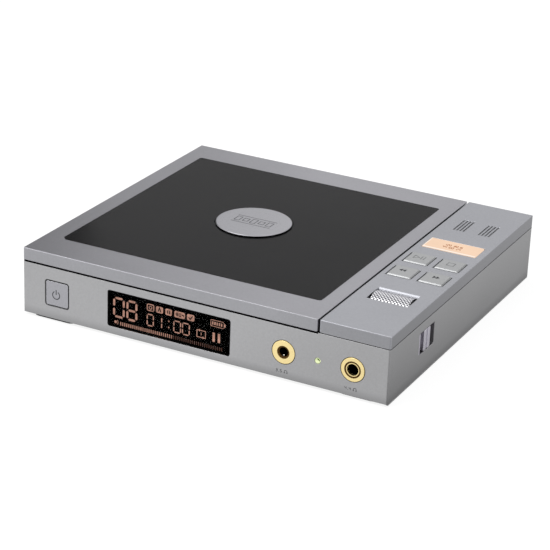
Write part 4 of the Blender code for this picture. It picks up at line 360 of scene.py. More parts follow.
def matt_black(made):
    """Black film: almost no gloss and a trace of dust."""
    made.grained(made.noise(1400, 3), (grey(0.0008), grey(0.002)), (0.75, 0.95))
    made.set(IOR=1.05)


def woven_finish(made, colour):
    """Black acoustic cloth: two crossing threads."""
    warp, weft = (made.node("ShaderNodeTexWave", {"Vector": made.place, "Scale": 620.0, "Distortion": 0.4},
                            bands_direction=way).outputs["Fac"] for way in "XY")
    cross = made.reckon(warp, weft, "MAXIMUM")
    made.set(Base_Color=made.blend(cross, rgba(colour, 0.4), rgba(colour, 1.6)),
             Roughness=made.spread(cross, 0.95, 0.75, 0.0, 1.0))
    made.bump(cross, 0.6, 0.0001)


def board_finish(made):
    """Circuit board: solder mask over square-cornered tracks, with small pale pads."""
    lanes, dots = (
        made.node("ShaderNodeTexVoronoi", {"Vector": made.place, "Scale": scale, "Randomness": loose},
                  distance=measure, feature="F1").outputs["Distance"]
        for scale, loose, measure in ((330.0, 0.85, "CHEBYCHEV"), (190.0, 1.0, "EUCLIDEAN")))
    track, pad = made.spread(lanes, 1.0, 0.0, 0.30, 0.36), made.spread(dots, 1.0, 0.0, 0.10, 0.13)
    mask = made.blend(track, rgba((0.008, 0.045, 0.022)), rgba((0.02, 0.11, 0.05)))
    made.set(Base_Color=made.blend(pad, mask, rgba((0.62, 0.60, 0.55))),
             Roughness=made.spread(made.noise(1500, 2), 0.28, 0.4))
    made.bump(track, 0.3, 0.00004)


def wrap_finish(made):
    """Shrink wrap of the cell: dark blue film with soft wrinkles."""
    wrinkles = made.noise(1, 3, 0.6, made.stretched((90, 420, 420)))
    made.grained(wrinkles, (rgba((0.012, 0.03, 0.09)), rgba((0.02, 0.055, 0.15))), (0.26, 0.42))
    made.bump(wrinkles, 0.25, 0.0002)


def nylon_finish(made):
    """Milky moulded nylon of the gears, slightly see-through."""
    made.grained(made.noise(500, 3), (rgba((0.60, 0.58, 0.52)), rgba((0.70, 0.68, 0.62))), (0.36, 0.5))
    made.set(Subsurface_Weight=0.15, Subsurface_Scale=0.001)
    made.bump(made.noise(2600, 2), 0.15, 0.00003)


def lens_finish(made):
    """Coated lens: violet gloss over dark glass."""
    made.grained(made.noise(700, 2), (rgba((0.05, 0.03, 0.12)), rgba((0.09, 0.05, 0.20))), (0.03, 0.08))
    made.set(Transmission_Weight=0.5, IOR=1.5, Coat_Weight=0.6, Coat_Roughness=0.03)


def recipes():
    """The maker and the values of every finish."""
    chosen = bpy.context.scene.player_finishes
    rough = chosen.metal_roughness
    satin = rough - 0.04
    border_tint = [part * 0.62 for part in chosen.smoked_glass]
    return {
        # The case is painted darker between these two heights: painted shade at its foot.
        "case_blasted": (blasted_metal, chosen.case_metal, rough, 0.0004, (0.0014, 0.0048)),
        "seat_blasted": (blasted_metal, chosen.case_metal, rough, 0.00003),
        "deck_blasted": (blasted_metal, chosen.deck_metal, rough),
        # Darker copies for the sides of the strip and the lid: painted shade.
        "deck_shaded_side": (blasted_metal, chosen.deck_side_shade, satin),
        "lid_blasted": (blasted_metal, chosen.lid_metal, rough),
        "lid_shaded_side": (blasted_metal, chosen.lid_side_shade, satin),
        "key_satin": (blasted_metal, chosen.key_metal, satin),
        "power_satin": (blasted_metal, chosen.power_metal, satin),
        "slide_metal": (blasted_metal, chosen.slide_metal, 0.34),
        "badge_turned": (turned_metal, chosen.badge_metal, 0.30, "lid_badge"),
        "hub_moulded": (turned_metal, (0.06, 0.06, 0.065), 0.4, "spindle_hub"),
        # The badge's undercut edge in the dark engraving colour: painted shade.
        "badge_edge_shade": (polished_metal, chosen.engraving_and_edge_shade, 0.35),
        # Painted highlight on the knurl's tops, painted shade in its grooves.
        "wheel_highlit_tops": (polished_metal, chosen.wheel_top_highlight, 0.24),
        "wheel_groove_shade": (polished_metal, chosen.wheel_groove_shade, 0.38),
        # The wheel's body is painted dark: painted shade.
        "wheel_body_shade": (polished_metal, (0.16, 0.16, 0.17), 0.4),
        "gold_plate_face": (polished_metal, chosen.gold, 0.32),
        "steel_drawn": (polished_metal, chosen.steel, 0.26),
        "brass_turned": (polished_metal, (0.70, 0.48, 0.18), 0.3),
        "contact_bright": (polished_metal, (0.9, 0.88, 0.8), 0.12),
        "smoked_pane": (tinted_glass, chosen.smoked_glass, 0.45, 1.10, 0.12),
        "pane_border": (tinted_glass, border_tint, 0.0, 1.10, 0.12),
        "display_pane": (tinted_glass, (0.80, 0.80, 0.80), 1.0, 1.06, 0.02),
        "display_black": (matt_black,),
        "socket_black": (matt_black,),
        "seal_black": (matt_black,),
        "label_glow": (lit_finish, chosen.label, 0.03, 120),
        "label_edge": (lit_finish, (1.0, 0.88, 0.78), 0.02, 200),
        "segment_glow": (lit_finish, chosen.segment, 0.30, 900),
        "segment_dim": (lit_finish, chosen.dim_segment, 0.2, 900),
        "status_glow": (lit_finish, chosen.status_light, 0.25, 700),
        # Dark crescent on the status light: painted reflection.
        "status_dark": (ink_finish, (0.10, 0.17, 0.03), 0.3),
        # Brown of the rings in the sockets, painted shade in the 4.4 socket's groove.
        "brown_ring_and_groove_shade": (ink_finish, (0.09, 0.045, 0.010), 0.6),
        "label_marks": (ink_finish, chosen.label_ink, 0.6),
        "engraved_marks": (ink_finish, chosen.engraving_and_edge_shade),
        # A lighter copy of the slide's dark base: painted light.
        "slide_base_lit": (moulded_plastic, (0.46, 0.44, 0.50), 0.45),
        "slide_base": (moulded_plastic, (0.10, 0.096, 0.11), 0.45),
        "black_moulded": (moulded_plastic, chosen.black_plastic),
        "tray_moulded": (moulded_plastic, chosen.black_plastic, 0.46, 1700, 0.35),
        "soft_rubber": (rubber_finish, chosen.rubber),
        "grille_cloth": (woven_finish, (0.03, 0.03, 0.032)),
        # A lighter copy of the cloth for the ribs in the slots: painted light.
        "rib_cloth_lit": (woven_finish, (0.085, 0.085, 0.09)),
        "board_green": (board_finish,),
        "cell_film": (wrap_finish,),
        "gear_milk": (nylon_finish,),
        "lens_coated": (lens_finish,),
    }


def finish_named(name):
    """The material of that name, made the first time that it is asked for."""
    known = bpy.data.materials.get(name)
    if known and known.get("player"):
        return known
    maker, *values = recipes()[name]
    made = new_recipe(name)
    maker(made, *values)
    made.owner["player"] = True
    return made.owner


def dress(name, *nodes):
    """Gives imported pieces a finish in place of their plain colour."""
    for node in nodes:
        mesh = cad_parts[node].data
        mesh.materials.clear()
        mesh.materials.append(finish_named(name))
        mesh.polygons.foreach_set("material_index", [0] * len(mesh.polygons))


def dress_part(node, finish, test):
    """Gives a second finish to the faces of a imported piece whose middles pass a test."""
    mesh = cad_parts[node].data
    mesh.materials.append(finish_named(finish))
    for face in mesh.polygons:
        if test(face.center):
            face.material_index = len(mesh.materials) - 1


def dress_rim(node, finish, rim=0.00005):
    """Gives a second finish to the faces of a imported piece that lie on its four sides."""
    low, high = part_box(node)
    dress_part(node, finish, lambda place: not (low.x + rim < place.x < high.x - rim
                                                and low.y + rim < place.y < high.y - rim))


# Mesh helpers

def add_object(name, data):
    """A new object in the scene."""
    made = bpy.data.objects.new(name, data)
    bpy.context.scene.collection.objects.link(made)
    return made


def add_piece(name, points, faces, finish, body="player", angle=30):
    """One mesh piece that rides on a body, with smooth shading that stays sharp over an angle in degrees."""
    mesh = bpy.data.meshes.new(name)
    mesh.from_pydata([tuple(point) for point in points], [], faces)
    mesh.validate()
    mesh.materials.append(finish_named(finish))
    mesh.polygons.foreach_set("use_smooth", [True] * len(mesh.polygons))
    mesh.set_sharp_from_angle(angle=math.radians(angle))
    piece = add_object(name, mesh)
    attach(piece, body)
    return piece


def ring_points(centre, radius, count, start=0.0, turn=math.tau):
    """Points round a centre in a plane."""
    steps = count if turn == math.tau else count - 1
    return [(centre[0] + radius * math.cos(start + turn * step / steps),
             centre[1] + radius * math.sin(start + turn * step / steps)) for step in range(count)]


def rounded_outline(half_x, half_y, corner, steps=7):
    """Points round a rectangle with round corners, anticlockwise."""
    line = []
    for number, (x, y) in enumerate(((1, 1), (-1, 1), (-1, -1), (1, -1))):
        line += ring_points(((half_x - corner) * x, (half_y - corner) * y), corner, steps,
                            number * math.pi / 2, math.pi / 2)
    return line


class Inlay:
    """Flat marks drawn on one face, each with a small height, kept in one mesh."""
    sharpest_mitre = 0.35

    def __init__(self, corner, across, up, height=None, unit=1.0):
        self.corner, self.across, self.up = Vector(corner), across * unit, up * unit
        self.out = across.cross(up)
        self.height = height or details().mark_height
        self.points, self.faces = [], []

    def shape(self, outline):
        """A filled outline, given anticlockwise."""
        first, count = len(self.points), len(outline)
        base = [self.corner + self.across * x + self.up * y for x, y in outline]
        self.points += base + [point + self.out * self.height for point in base]
        self.faces.append([first + step for step in reversed(range(count))])
        self.faces.append([first + count + step for step in range(count)])
        for step in range(count):
            after = (step + 1) % count
            self.faces.append([first + step, first + after, first + count + after, first + count + step])

    def box(self, left, low, right, high):
        """A filled rectangle."""
        self.shape([(left, low), (right, low), (right, high), (left, high)])

    def stroke(self, line, width, closed=False):
        """A line of even width with mitred corners."""
        line = [Vector(place) for place in line]
        count = len(line)
        sides = []
        for step, here in enumerate(line):
            before = [here - line[step - 1]] if closed or step else []
            after = [line[(step + 1) % count] - here] if closed or step < count - 1 else []
            ways = [way.normalized() for way in before + after]
            way = sum(ways, Vector((0, 0))).normalized()
            normal = Vector((-way.y, way.x))
            mitre = normal.dot(Vector((-ways[0].y, ways[0].x)))
            reach = width / 2 / max(self.sharpest_mitre, mitre)
            sides.append((here + normal * reach, here - normal * reach))
        for step in range(count if closed else count - 1):
            (left, right), (left_after, right_after) = sides[step], sides[(step + 1) % count]
            self.shape([right, right_after, left_after, left])

    def piece(self, name, finish, slot, body="player"):
        """Closes the marks into one piece."""
        return add_piece(name, self.points, self.faces, finish, body)


def skin_piece(name, rings, closed, finish, body, angle):
    """A skin from ring to ring of points, closed to a loop or by two end faces; a pole is a ring of one."""
    points, faces, rows = [], [], []
    for ring in rings:
        rows.append(range(len(points), len(points) + len(ring)))
        points += ring
    count = max(len(row) for row in rows)
    for here, after in zip(rows, rows[1:] + rows[:1] if closed else rows[1:]):
        for step in range(count):
            then = (step + 1) % count
            loop = dict.fromkeys((here[step % len(here)], here[then % len(here)],
                                  after[then % len(after)], after[step % len(after)]))
            if len(loop) > 2:
                faces.append(list(loop))
    if not closed:
        faces += [list(reversed(rows[0])), list(rows[-1])]
    return add_piece(name, points, faces, finish, body, angle)


def boxes_piece(name, corner, across, up, boxes, finish, slot, body="player", height=None):
    """Flat rectangles on one face in one piece: (left, low, right, high) of each."""
    marks = Inlay(corner, across, up, height)
    for box in boxes:
        marks.box(*box)
    return marks.piece(name, finish, slot, body)


def turned_piece(name, profile, centre, axis, finish, body="player", count=64, angle=30):
    """A closed profile of (radius, place along the axis) points, turned round the axis."""
    side = axis.orthogonal().normalized()
    other = axis.cross(side)
    rings = []
    for radius, along in profile:
        middle = Vector(centre) + axis * along
        ring = [middle + side * x + other * y for x, y in ring_points((0, 0), radius, count)]
        rings.append(ring if radius > 0 else [middle])
    return skin_piece(name, rings, True, finish, body, angle)


def stacked_piece(name, rows, centre, finish, body="player", angle=30):
    """A closed form of rounded rectangles one above the other: (height, half x, half y, corner)."""
    rings = [[Vector(centre) + Vector((x, y, height)) for x, y in rounded_outline(half_x, half_y, corner)]
             for height, half_x, half_y, corner in rows]
    return skin_piece(name, rings, False, finish, body, angle)


# Stage

def soft_light(name, place, size, power):
    """A square soft light that looks at the player."""
    lamp = bpy.data.lights.new(name, "AREA")
    lamp.shape, lamp.size, lamp.energy = "SQUARE", size, power
    holder = add_object(name, lamp)
    holder.location = place
    holder.rotation_euler = (-Vector(place)).to_track_quat("-Z", "Y").to_euler()


def backdrop(made, centre, side, rise):
    """A flat piece of the set, given by its middle and its two half sides."""
    name = made.owner.name
    mesh = bpy.data.meshes.new(name)
    mesh.from_pydata([tuple(centre + side * a + rise * b) for a, b in CORNERS], [], [[0, 1, 2, 3]])
    mesh.materials.append(made.owner)
    piece = add_object(name, mesh)
    return piece


def card(name, centre, size, facing, greys, run=1.0, way=(1, 0, 0), start=(0, 0, 0)):
    """A grey card at the edge of the set that shapes what the metal reflects.

    Its grey goes from the first to the second over a run from a start along a way, and stays."""
    facing = Vector(facing).normalized()
    side = (UP if abs(facing.z) < 0.9 else DEEP).cross(facing).normalized()
    made = new_recipe(name)
    along = made.vector(made.vector(made.place, start, "SUBTRACT"), way, "DOT_PRODUCT", "Value")
    made.set(Base_Color=(0, 0, 0, 1), Roughness=1.0, Emission_Strength=1.0,
             Emission_Color=made.spread(along, *greys, 0.0, run))
    piece = backdrop(made, Vector(centre), side * size[0] / 2, facing.cross(side) * size[1] / 2)
    piece.visible_camera = piece.visible_diffuse = piece.visible_shadow = piece.visible_transmission = False


class PLAYER_OT_stage(bpy.types.Operator):
    """Camera at the photograph's angle, soft light, white room and floor"""
    bl_idname = "player.stage"
    bl_label = "Stage"

    sensor = 36.0
    near = 0.01
    floor_half = 3.0
    floor_shade = 0.26
    floor_glow = 0.84
    lights = (("key_light", (-0.50, -0.50, 1.05), 0.7), ("fill_light", (0.9, -0.3, 0.9), 0.8))
    card_depth = 0.4
    card_gap = 0.0001
    cards = (
        ("grey_card_left", (-0.825, 0.615, 0.36), (0.6, 0.6), (0.825, -0.615, -0.30), (0.05, 0.05)),
        ("grey_card_rear_left", (-0.72, 0.95, 0.19), (0.46, 0.36), (0.72, -0.95, -0.1), (0.21, 0.21)),
        ("grey_card_rear", (0.05, 1.0, 0.17), (0.9, 0.34), (-0.05, -1.0, 0.0), (0.54, 0.54)),
        ("grey_card_back_right", (0.50, 0.82, 0.45), (0.55, 0.45), (-0.45, -0.82, -0.42), (0.55, 0.55)),
    )

    def execute(self, context):
        scene, stage = context.scene, context.scene.player_stage
        scene.view_settings.view_transform = "Standard"
        scene.camera = self.camera(stage)
        scene.world = bpy.data.worlds.new("room")
        room = Recipe(scene.world, "Background")
        room.set(Color=(1, 1, 1, 1), Strength=room.spread(room.seen(), stage.room_light, 1.0, 0.0, 1.0))
        for values, power in zip(self.lights, (stage.key_power, stage.fill_power)):
            soft_light(*values, power)
        for values in self.cards:
            card(*values)
        low, high = SOLID_BOX
        deep, gap = self.card_depth, self.card_gap
        card("grey_card_floor", (high.x + gap + deep / 2, 0.28, low.z + 2 * gap), (deep, 0.9), UP,
             (0.33, 0.66), 0.045, (1, 0.12, 0), (high.x, low.y, low.z))
        card("grey_card_front", (0, low.y - gap - deep / 2, low.z + gap), (0.9, deep), UP, (1.0, 0.88), 0.04)
        self.floor(low.z)
        return {"FINISHED"}

    def camera(self, stage):
        """The camera, turned and tilted as the settings say."""
        turn, rise, roll = stage.azimuth, stage.elevation, stage.roll
        right = Vector((math.cos(turn), math.sin(turn), 0))
        back = Vector((math.sin(turn) * math.cos(rise), -math.cos(turn) * math.cos(rise), math.sin(rise)))
        over = back.cross(right)
        across = right * math.cos(roll) + over * math.sin(roll)
        over = over * math.cos(roll) - right * math.sin(roll)
        camera = bpy.data.cameras.new("camera")
        camera.lens, camera.sensor_width, camera.clip_start = stage.lens, self.sensor, self.near
        matrix = Matrix((across, over, back)).transposed().to_4x4()
        matrix.translation = Vector(stage.camera_place)
        holder = add_object("camera", camera)
        holder.matrix_world = matrix
        return holder

    def floor(self, level):
        """White floor that keeps a faint shadow under the player."""
        made = new_recipe("floor")
        seen = made.seen()
        paper = made.blend(made.spread(made.noise(3, 2), 0.0, 1.0), grey(0.84), grey(0.88))
        made.set(Base_Color=made.blend(seen, paper, grey(self.floor_shade)),
                 Roughness=made.spread(made.noise(40, 2), 0.9, 1.0), Specular_IOR_Level=0.0,
                 Emission_Color=(1, 1, 1, 1), Emission_Strength=made.reckon(seen, self.floor_glow))
        backdrop(made, UP * level, ACROSS * self.floor_half, DEEP * self.floor_half)


# Pieces

class PLAYER_OT_case(bpy.types.Operator):
    """Metal of the case, its cover and the control strip, with the screws, feet and seals"""
    bl_idname = "player.case"
    bl_label = "Case"

    seal_reach = 0.0008
    seal_lap = 0.00044
    seal_rise = 0.00026
    seal_end = 0.064
    upright_cut = 0.0006
    skirt_drop = 0.0005
    sole_rows = ((0.0, -0.0004, 0.0003), (0.00012, 0.0, 0.0006), (0.0006, 0.0002, 0.0008),
                 (0.0010, 0.0002, 0.0008), (0.00115, -0.0004, 0.0))
    sole_corner = 0.003
    pressed = (0.0013, 0.0007)

    def execute(self, context):
        dress("case_blasted", "main_case", "bottom_cover")
        dress("deck_blasted", "control_deck")
        # The strip's sides take the darker copy: painted shade.
        dress_rim("control_deck", "deck_shaded_side")
        for side in ("front_left", "front_right", "rear_left", "rear_right"):
            dress("steel_drawn", "bottom_screw_" + side)
            self.foot(side)
        self.seals()
        return {"FINISHED"}

    def foot(self, side):
        """Rubber foot with a bulged edge; each row is (height, growth across, growth to the front and rear).

        The one at the front left is pressed wider than the others."""
        low, high, middle = box_of("foot_" + side)
        half = (high - low) / 2
        more, deeper = self.pressed if side == "front_left" else (0, 0)
        rows = [(height, half.x + across + more, half.y + deep + deeper, self.sole_corner + across)
                for height, across, deep in self.sole_rows]
        sole = stacked_piece("sole_" + side, rows, (middle.x, middle.y, low.z), "soft_rubber",
                             angle=50)
        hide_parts("foot_" + side)

    def seals(self):
        """Black seal under the lid, thin gasket under the strip and the right wall's lower edge."""
        low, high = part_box("main_case")
        deck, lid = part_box("control_deck"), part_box("lid_frame")
        proud, reach, cut = details().mark_height, self.seal_reach, self.upright_cut
        west, south, end, rim = low.x - proud, low.y - proud, self.seal_end, high.z
        seal = Inlay((0, 0, rim - self.seal_lap), ACROSS, DEEP, self.seal_lap + self.seal_rise)
        seal.shape([(west, end), (west, south + cut), (west + cut, south), (lid[1].x, south),
                    (lid[1].x, low.y + reach), (low.x + reach, low.y + reach), (low.x + reach, end)])
        seal.piece("lid_seal", "seal_black", "rubber")
        west, east, south, north = deck[0].x, high.x - proud, low.y + proud, high.y - proud
        gasket = Inlay((0, 0, rim), ACROSS, DEEP, lid[0].z - rim)
        gasket.shape([(west, south), (east - cut, south), (east, south + cut), (east, north - cut),
                      (east - cut, north), (west, north), (west, north - reach),
                      (east - reach, north - reach), (east - reach, south + reach), (west, south + reach)])
        gasket.piece("deck_gasket", "seal_black", "rubber")
        # This strip lies in the case's painted shade and shows as a dark lower edge.
        boxes_piece("case_skirt_right", (0, 0, low.z - self.skirt_drop), ACROSS, DEEP,
                    [(high.x - reach, low.y + cut, high.x, high.y - cut)], "case_blasted", "case_metal",
                    height=self.skirt_drop)


class PLAYER_OT_lid(bpy.types.Operator):
    """Metal frame, smoked glass, hinge lugs, magnet and pads of the lid"""
    bl_idname = "player.lid"
    bl_label = "Lid"

    side_border = 0.0011
    right_border = 0.0005
    border_lap = 0.0003
    rear_corner = 0.0008
    front_corner = 0.0014

    def execute(self, context):
        dress("lid_blasted", "lid_frame")
        # The lid's sides take the darker copy: painted shade.
        dress_rim("lid_frame", "lid_shaded_side")
        dress("smoked_pane", "lid_glass")
        dress("steel_drawn", "lid_hinge_left", "lid_hinge_right", "lid_magnet")
        dress("soft_rubber", "lid_bumper_left", "lid_bumper_right")
        self.border()
        return {"FINISHED"}

    def border(self):
        """Dark edge of the glass on the frame: left, rear and right."""
        low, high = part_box("lid_glass")
        lap, corner, cut = self.border_lap, self.rear_corner, self.front_corner
        west, east, north = low.x - self.side_border, high.x + self.right_border, high.y + self.side_border
        left, right, rear, front = low.x + lap, high.x - lap, high.y - lap, low.y + cut
        bend = north - corner
        border = Inlay((0, 0, high.z), ACROSS, DEEP)
        border.shape([(west, front), (left, low.y + lap), (left, bend), (west, bend)])
        border.shape([(west, bend), (left, rear), (right, rear), (east, bend), (east - corner, north),
                      (west + corner, north)])
        border.shape([(right, front), (east, front + corner), (east, bend), (right, rear)])
        border.piece("lid_glass_border", "pane_border", "smoked_glass", "lid")


class PLAYER_OT_badge(bpy.types.Operator):
    """Round badge: flat top with a bright rim, an undercut edge in painted shade and a plain engraved grid"""
    bl_idname = "player.badge"
    bl_label = "Badge"

    top_share = 0.985
    rim = 0.00022
    top_depth = 1.6 * rim
    undercut = 0.00055
    foot_gap = 0.00003
    columns = 5
    cell_half = 0.0011
    cell_talls = (0.0021, 0.001428)
    cell_pitch = 0.0036
    grid_line = 0.00032
    rail_step = 0.0035

    def execute(self, context):
        low, high, centre = box_of("lid_badge")
        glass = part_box("lid_glass")[1].z
        radius, rim, proud = (high.x - low.x) / 2 * self.top_share, self.rim, high.z - glass
        under, gap = proud - self.top_depth, self.foot_gap
        top = [(0, proud), (radius - rim, proud), (radius, proud - rim), (radius, under), (0, under)]
        edge = [(0, under), (radius - self.undercut / 2, under), (radius - self.undercut, gap), (0, gap)]
        for name, profile, finish in (("badge_top", top, "badge_turned"), ("badge_edge_shade", edge, "badge_edge_shade")):
            made = turned_piece(name, profile, (centre.x, centre.y, glass), UP, finish, "lid",
                                count=128, angle=25)
            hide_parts("lid_badge")
        self.grid(Inlay((centre.x, centre.y, high.z), ACROSS, DEEP))
        return {"FINISHED"}

    def grid(self, marks):
        """Row of open cells between two rails; every second cell is lower."""
        half, line = self.cell_half, self.grid_line
        for number in range(self.columns):
            x, tall = self.cell_pitch * (number - (self.columns - 1) / 2), self.cell_talls[number % 2]
            marks.stroke([(x + a * half, b * tall) for a, b in CORNERS], line, True)
        reach = self.cell_pitch * self.columns / 2
        for y in (-self.rail_step, self.rail_step):
            marks.stroke([(-reach, y), (reach, y)], line)
        marks.piece("badge_grid", "engraved_marks", "badge_metal", "lid")


class PLAYER_OT_label(bpy.types.Operator):
    """Lit label window with two short rows of numbers"""
    bl_idname = "player.label"
    bl_label = "Label window"

    rows = ("120 8016", "44100 24")
    letter_height = 0.00190
    letter_width = 0.32 * letter_height
    letter_line = 0.17 * letter_height
    letter_pitch = 0.00100
    row_gap = 0.00045
    flange = 0.0010
    front_edge = 0.0010
    left_edge = 0.0004

    def execute(self, context):
        dress("label_glow", "light_panel")
        low, high, centre = box_of("light_panel")
        face = (centre.x, centre.y, high.z)
        marks = Inlay(face, ACROSS, DEEP)
        tall, pitch = self.letter_height, self.letter_pitch
        for row, base in zip(self.rows, (self.row_gap / 2, -self.row_gap / 2 - tall)):
            for step, sign in enumerate(row):
                if sign.isdigit():
                    left = pitch * (step - len(row) / 2)
                    digit(marks, int(sign), left, base, self.letter_width, tall, self.letter_line)
        marks.piece("label_numbers", "label_marks", "lit_label")
        east, north = (high.x - low.x) / 2 - self.flange, (high.y - low.y) / 2 - self.flange
        front = self.front_edge - north
        boxes = [(-east, -north, east, front), (-east, front, self.left_edge - east, north)]
        boxes_piece("label_front_edge", face, ACROSS, DEEP, boxes, "label_edge", "lit_label")
        return {"FINISHED"}


# Strokes of each number, lettered clockwise from the top, with the middle one last
SEGMENTS_OF = {0: "abcdef", 1: "bc", 2: "abged", 3: "abgcd", 4: "fgbc", 5: "afgcd", 6: "afgedc", 7: "abc",
               8: "abcdefg", 9: "abcdfg"}


def digit(marks, number, left, low, wide, tall, thick, gap=0.0):
    """A number in seven segments with pointed ends; its width runs between the middles of the strokes."""
    half = thick / 2
    right, under, over = left + wide, low + half, low + tall - half
    middle = (under + over) / 2
    ends = {"a": (left, over, right, over), "b": (right, middle, right, over),
            "c": (right, under, right, middle), "d": (left, under, right, under),
            "e": (left, under, left, middle), "f": (left, middle, left, over),
            "g": (left, middle, right, middle)}
    for name in SEGMENTS_OF[number]:
        start, end = Vector(ends[name][:2]), Vector(ends[name][2:])
        tip = (end - start).normalized() * half
        side = Vector((-tip.y, tip.x))
        inset = tip.normalized() * (gap + half * 0.15)
        start, end = start + inset, end - inset
        marks.shape([start, start + tip - side, end - tip - side, end, end - tip + side, start + tip + side])


class PLAYER_OT_display(bpy.types.Operator):
    """Display window, its black face and its lit and dim marks; sizes of the marks are in millimetres"""
    bl_idname = "player.display"
    bl_label = "Display"

    window_gap = 0.0003
    face_inset = 0.0002
    face_depth = 0.0003
    # Widths of the window's black border: left, bottom, right, top; the wide left and bottom carry painted
    # shade.
    border = (0.0009, 0.00085, 0.0003, 0.0003)
    thin = 0.28
    track = ((0, 2.3, 4.35), (8, 8.35, 4.05))
    track_row = {"low": 3.7, "tall": 8.75, "thick": 0.90, "gap": 0.32}
    time = ((0, 17.3, 2.75), (1, 20.85, 2.95), (0, 29.25, 2.95), (0, 33.1, 2.95))
    time_row = {"low": 3.6, "tall": 5.2, "thick": 0.46, "gap": 0.18}
    time_dots = ((26.7, 4.8, 27.25, 5.4), (26.7, 7.4, 27.25, 8.0))
    sign_low = 10.2
    sign_high = 12.85
    open_box = (17.25, 20.2)
    filled_boxes = ((21.2, 24.3), (25.35, 28.25), (29.35, 34.05), (34.95, 38.2))
    sign_corner = 0.6
    sign_inset = 0.55
    ring = (18.72, 0.65)
    peak = ((22.15, 10.7), (22.75, 12.35), (23.35, 10.7))
    bars = ((26.2, 26.65), (27.05, 27.5))
    cut_numbers = ((8, 30.2), (0, 31.5), (4, 32.8))
    tick = ((35.7, 11.525), (36.35, 10.8), (37.5, 12.35))
    pause_bars = ((46.3, 3.95, 47.3, 7.75), (48.6, 3.95, 49.6, 7.75))
    cell = ((45.4, 10.6), (45.7, 10.4), (50.8, 10.4), (51.2, 10.8), (51.2, 12.6), (50.8, 13.0), (45.7, 13.0),
            (45.4, 12.8))
    cell_bars = tuple((46.0 + 0.96 * number, 11.05, 46.5 + 0.96 * number, 12.35) for number in range(5))
    cell_nose = (51.4, 11.1, 51.8, 12.3)
    loop_lines = (((39.95, 7.3), (39.45, 7.3), (39.45, 4.4), (42.2, 4.4)),
                  ((42.7, 4.4), (43.2, 4.4), (43.2, 7.3), (40.45, 7.3)))
    loop_heads = (((40.65, 6.75), (40.65, 7.85), (39.95, 7.3)), ((42.0, 4.95), (42.0, 3.85), (42.7, 4.4)))
    loop_bar = (41.185, 5.3, 41.465, 6.4)
    bar_left = 5.15
    bar_right = 51.1
    bar_levels = (0.75, 2.2)
    tick_share = 0.44
    level_dot = ((3.0, 1.75), 0.60, 16)
    level_arc = ((3.1, 1.75), 1.05, 9, -1.0, 2.0)
    level_line = 0.22

    def execute(self, context):
        dress("display_pane", "display_window")
        dress("display_black", "display_module")
        low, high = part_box("display_window")
        wide, tall = high.x - low.x, high.z - low.z
        boxes_piece("display_face", (low.x, high.y + self.face_depth + self.face_inset, low.z), ACROSS, UP,
                    [(0, 0, wide, tall)], "display_black", "display_plastic", height=self.face_depth)
        # Black border on the window: print, with painted shade of the opening's edge on the left and at the
        # bottom.
        left, under, right, over = self.border
        border = [(0, 0, left, tall), (left, 0, wide - right, under), (wide - right, 0, wide, tall),
                  (left, tall - over, wide - right, tall)]
        boxes_piece("display_border_and_shade", low, ACROSS, UP, border, "display_black", "display_plastic")
        corner = (low.x - self.window_gap, high.y + self.face_inset, low.z - self.window_gap)
        height = details().segment_height
        lit, dim, cut = (Inlay(corner, ACROSS, UP, share * height, MM) for share in (1, 1, 1.5))
        self.numbers(lit)
        self.signs(lit, cut)
        self.loop(lit)
        self.battery(lit)
        self.level_bar(lit, dim)
        lit.piece("display_lit", "segment_glow", "display_plastic")
        dim.piece("display_dim", "segment_dim", "display_plastic")
        cut.piece("display_cut", "display_black", "display_plastic")
        return {"FINISHED"}

    def numbers(self, lit):
        """Large track number and the smaller time beside it."""
        for signs, row in ((self.track, self.track_row), (self.time, self.time_row)):
            for number, left, wide in signs:
                digit(lit, number, left, wide=wide, **row)
        for dot in self.time_dots:
            lit.box(*dot)

    def signs(self, lit, cut):
        """Five boxed signs: one open box with a ring, and dark signs that are cut from four lit boxes."""
        thin, half = self.thin, (self.sign_high - self.sign_low) / 2
        level, inner = self.sign_low + half, half - self.sign_inset
        for left, right in (self.open_box, *self.filled_boxes):
            outline = [((left + right) / 2 + x, level + z) for x, z in rounded_outline(
                (right - left) / 2, half, self.sign_corner, 4)]
            if (left, right) in self.filled_boxes:
                lit.shape(outline)
            else:
                lit.stroke(outline, thin * 1.3, True)
        lit.stroke(ring_points((self.ring[0], level), self.ring[1], 14), thin, True)
        cut.stroke(self.peak, thin * 1.5)
        for left, right in self.bars:
            cut.box(left, level - inner, right, level + inner)
        for number, left in self.cut_numbers:
            digit(cut, number, left, level - inner, wide=0.72, tall=2 * inner, thick=0.34)
        cut.stroke(self.tick, thin * 1.5)

    def loop(self, lit):
        """Repeat loop: two bent lines with arrow heads round a short bar."""
        for line in self.loop_lines:
            lit.stroke(line, self.thin)
        for head in self.loop_heads:
            lit.shape(head)
        lit.box(*self.loop_bar)

    def battery(self, lit):
        """Pause bars and, over them, the cell with its five bars and its nose."""
        for bar in self.pause_bars:
            lit.box(*bar)
        lit.stroke(self.cell, self.thin * 0.75, True)
        for bar in (*self.cell_bars, self.cell_nose):
            lit.box(*bar)

    def level_bar(self, lit, dim):
        """Row of ticks, lit as far as the level reaches, and the sign before it."""
        count, low, high = details().tick_count, *self.bar_levels
        pitch = (self.bar_right - self.bar_left) / count
        for step in range(count):
            left = self.bar_left + pitch * step
            (lit if step < details().lit_ticks else dim).box(left, low, left + pitch * self.tick_share, high)
        lit.shape(ring_points(*self.level_dot))
        lit.stroke(ring_points(*self.level_arc), self.level_line)


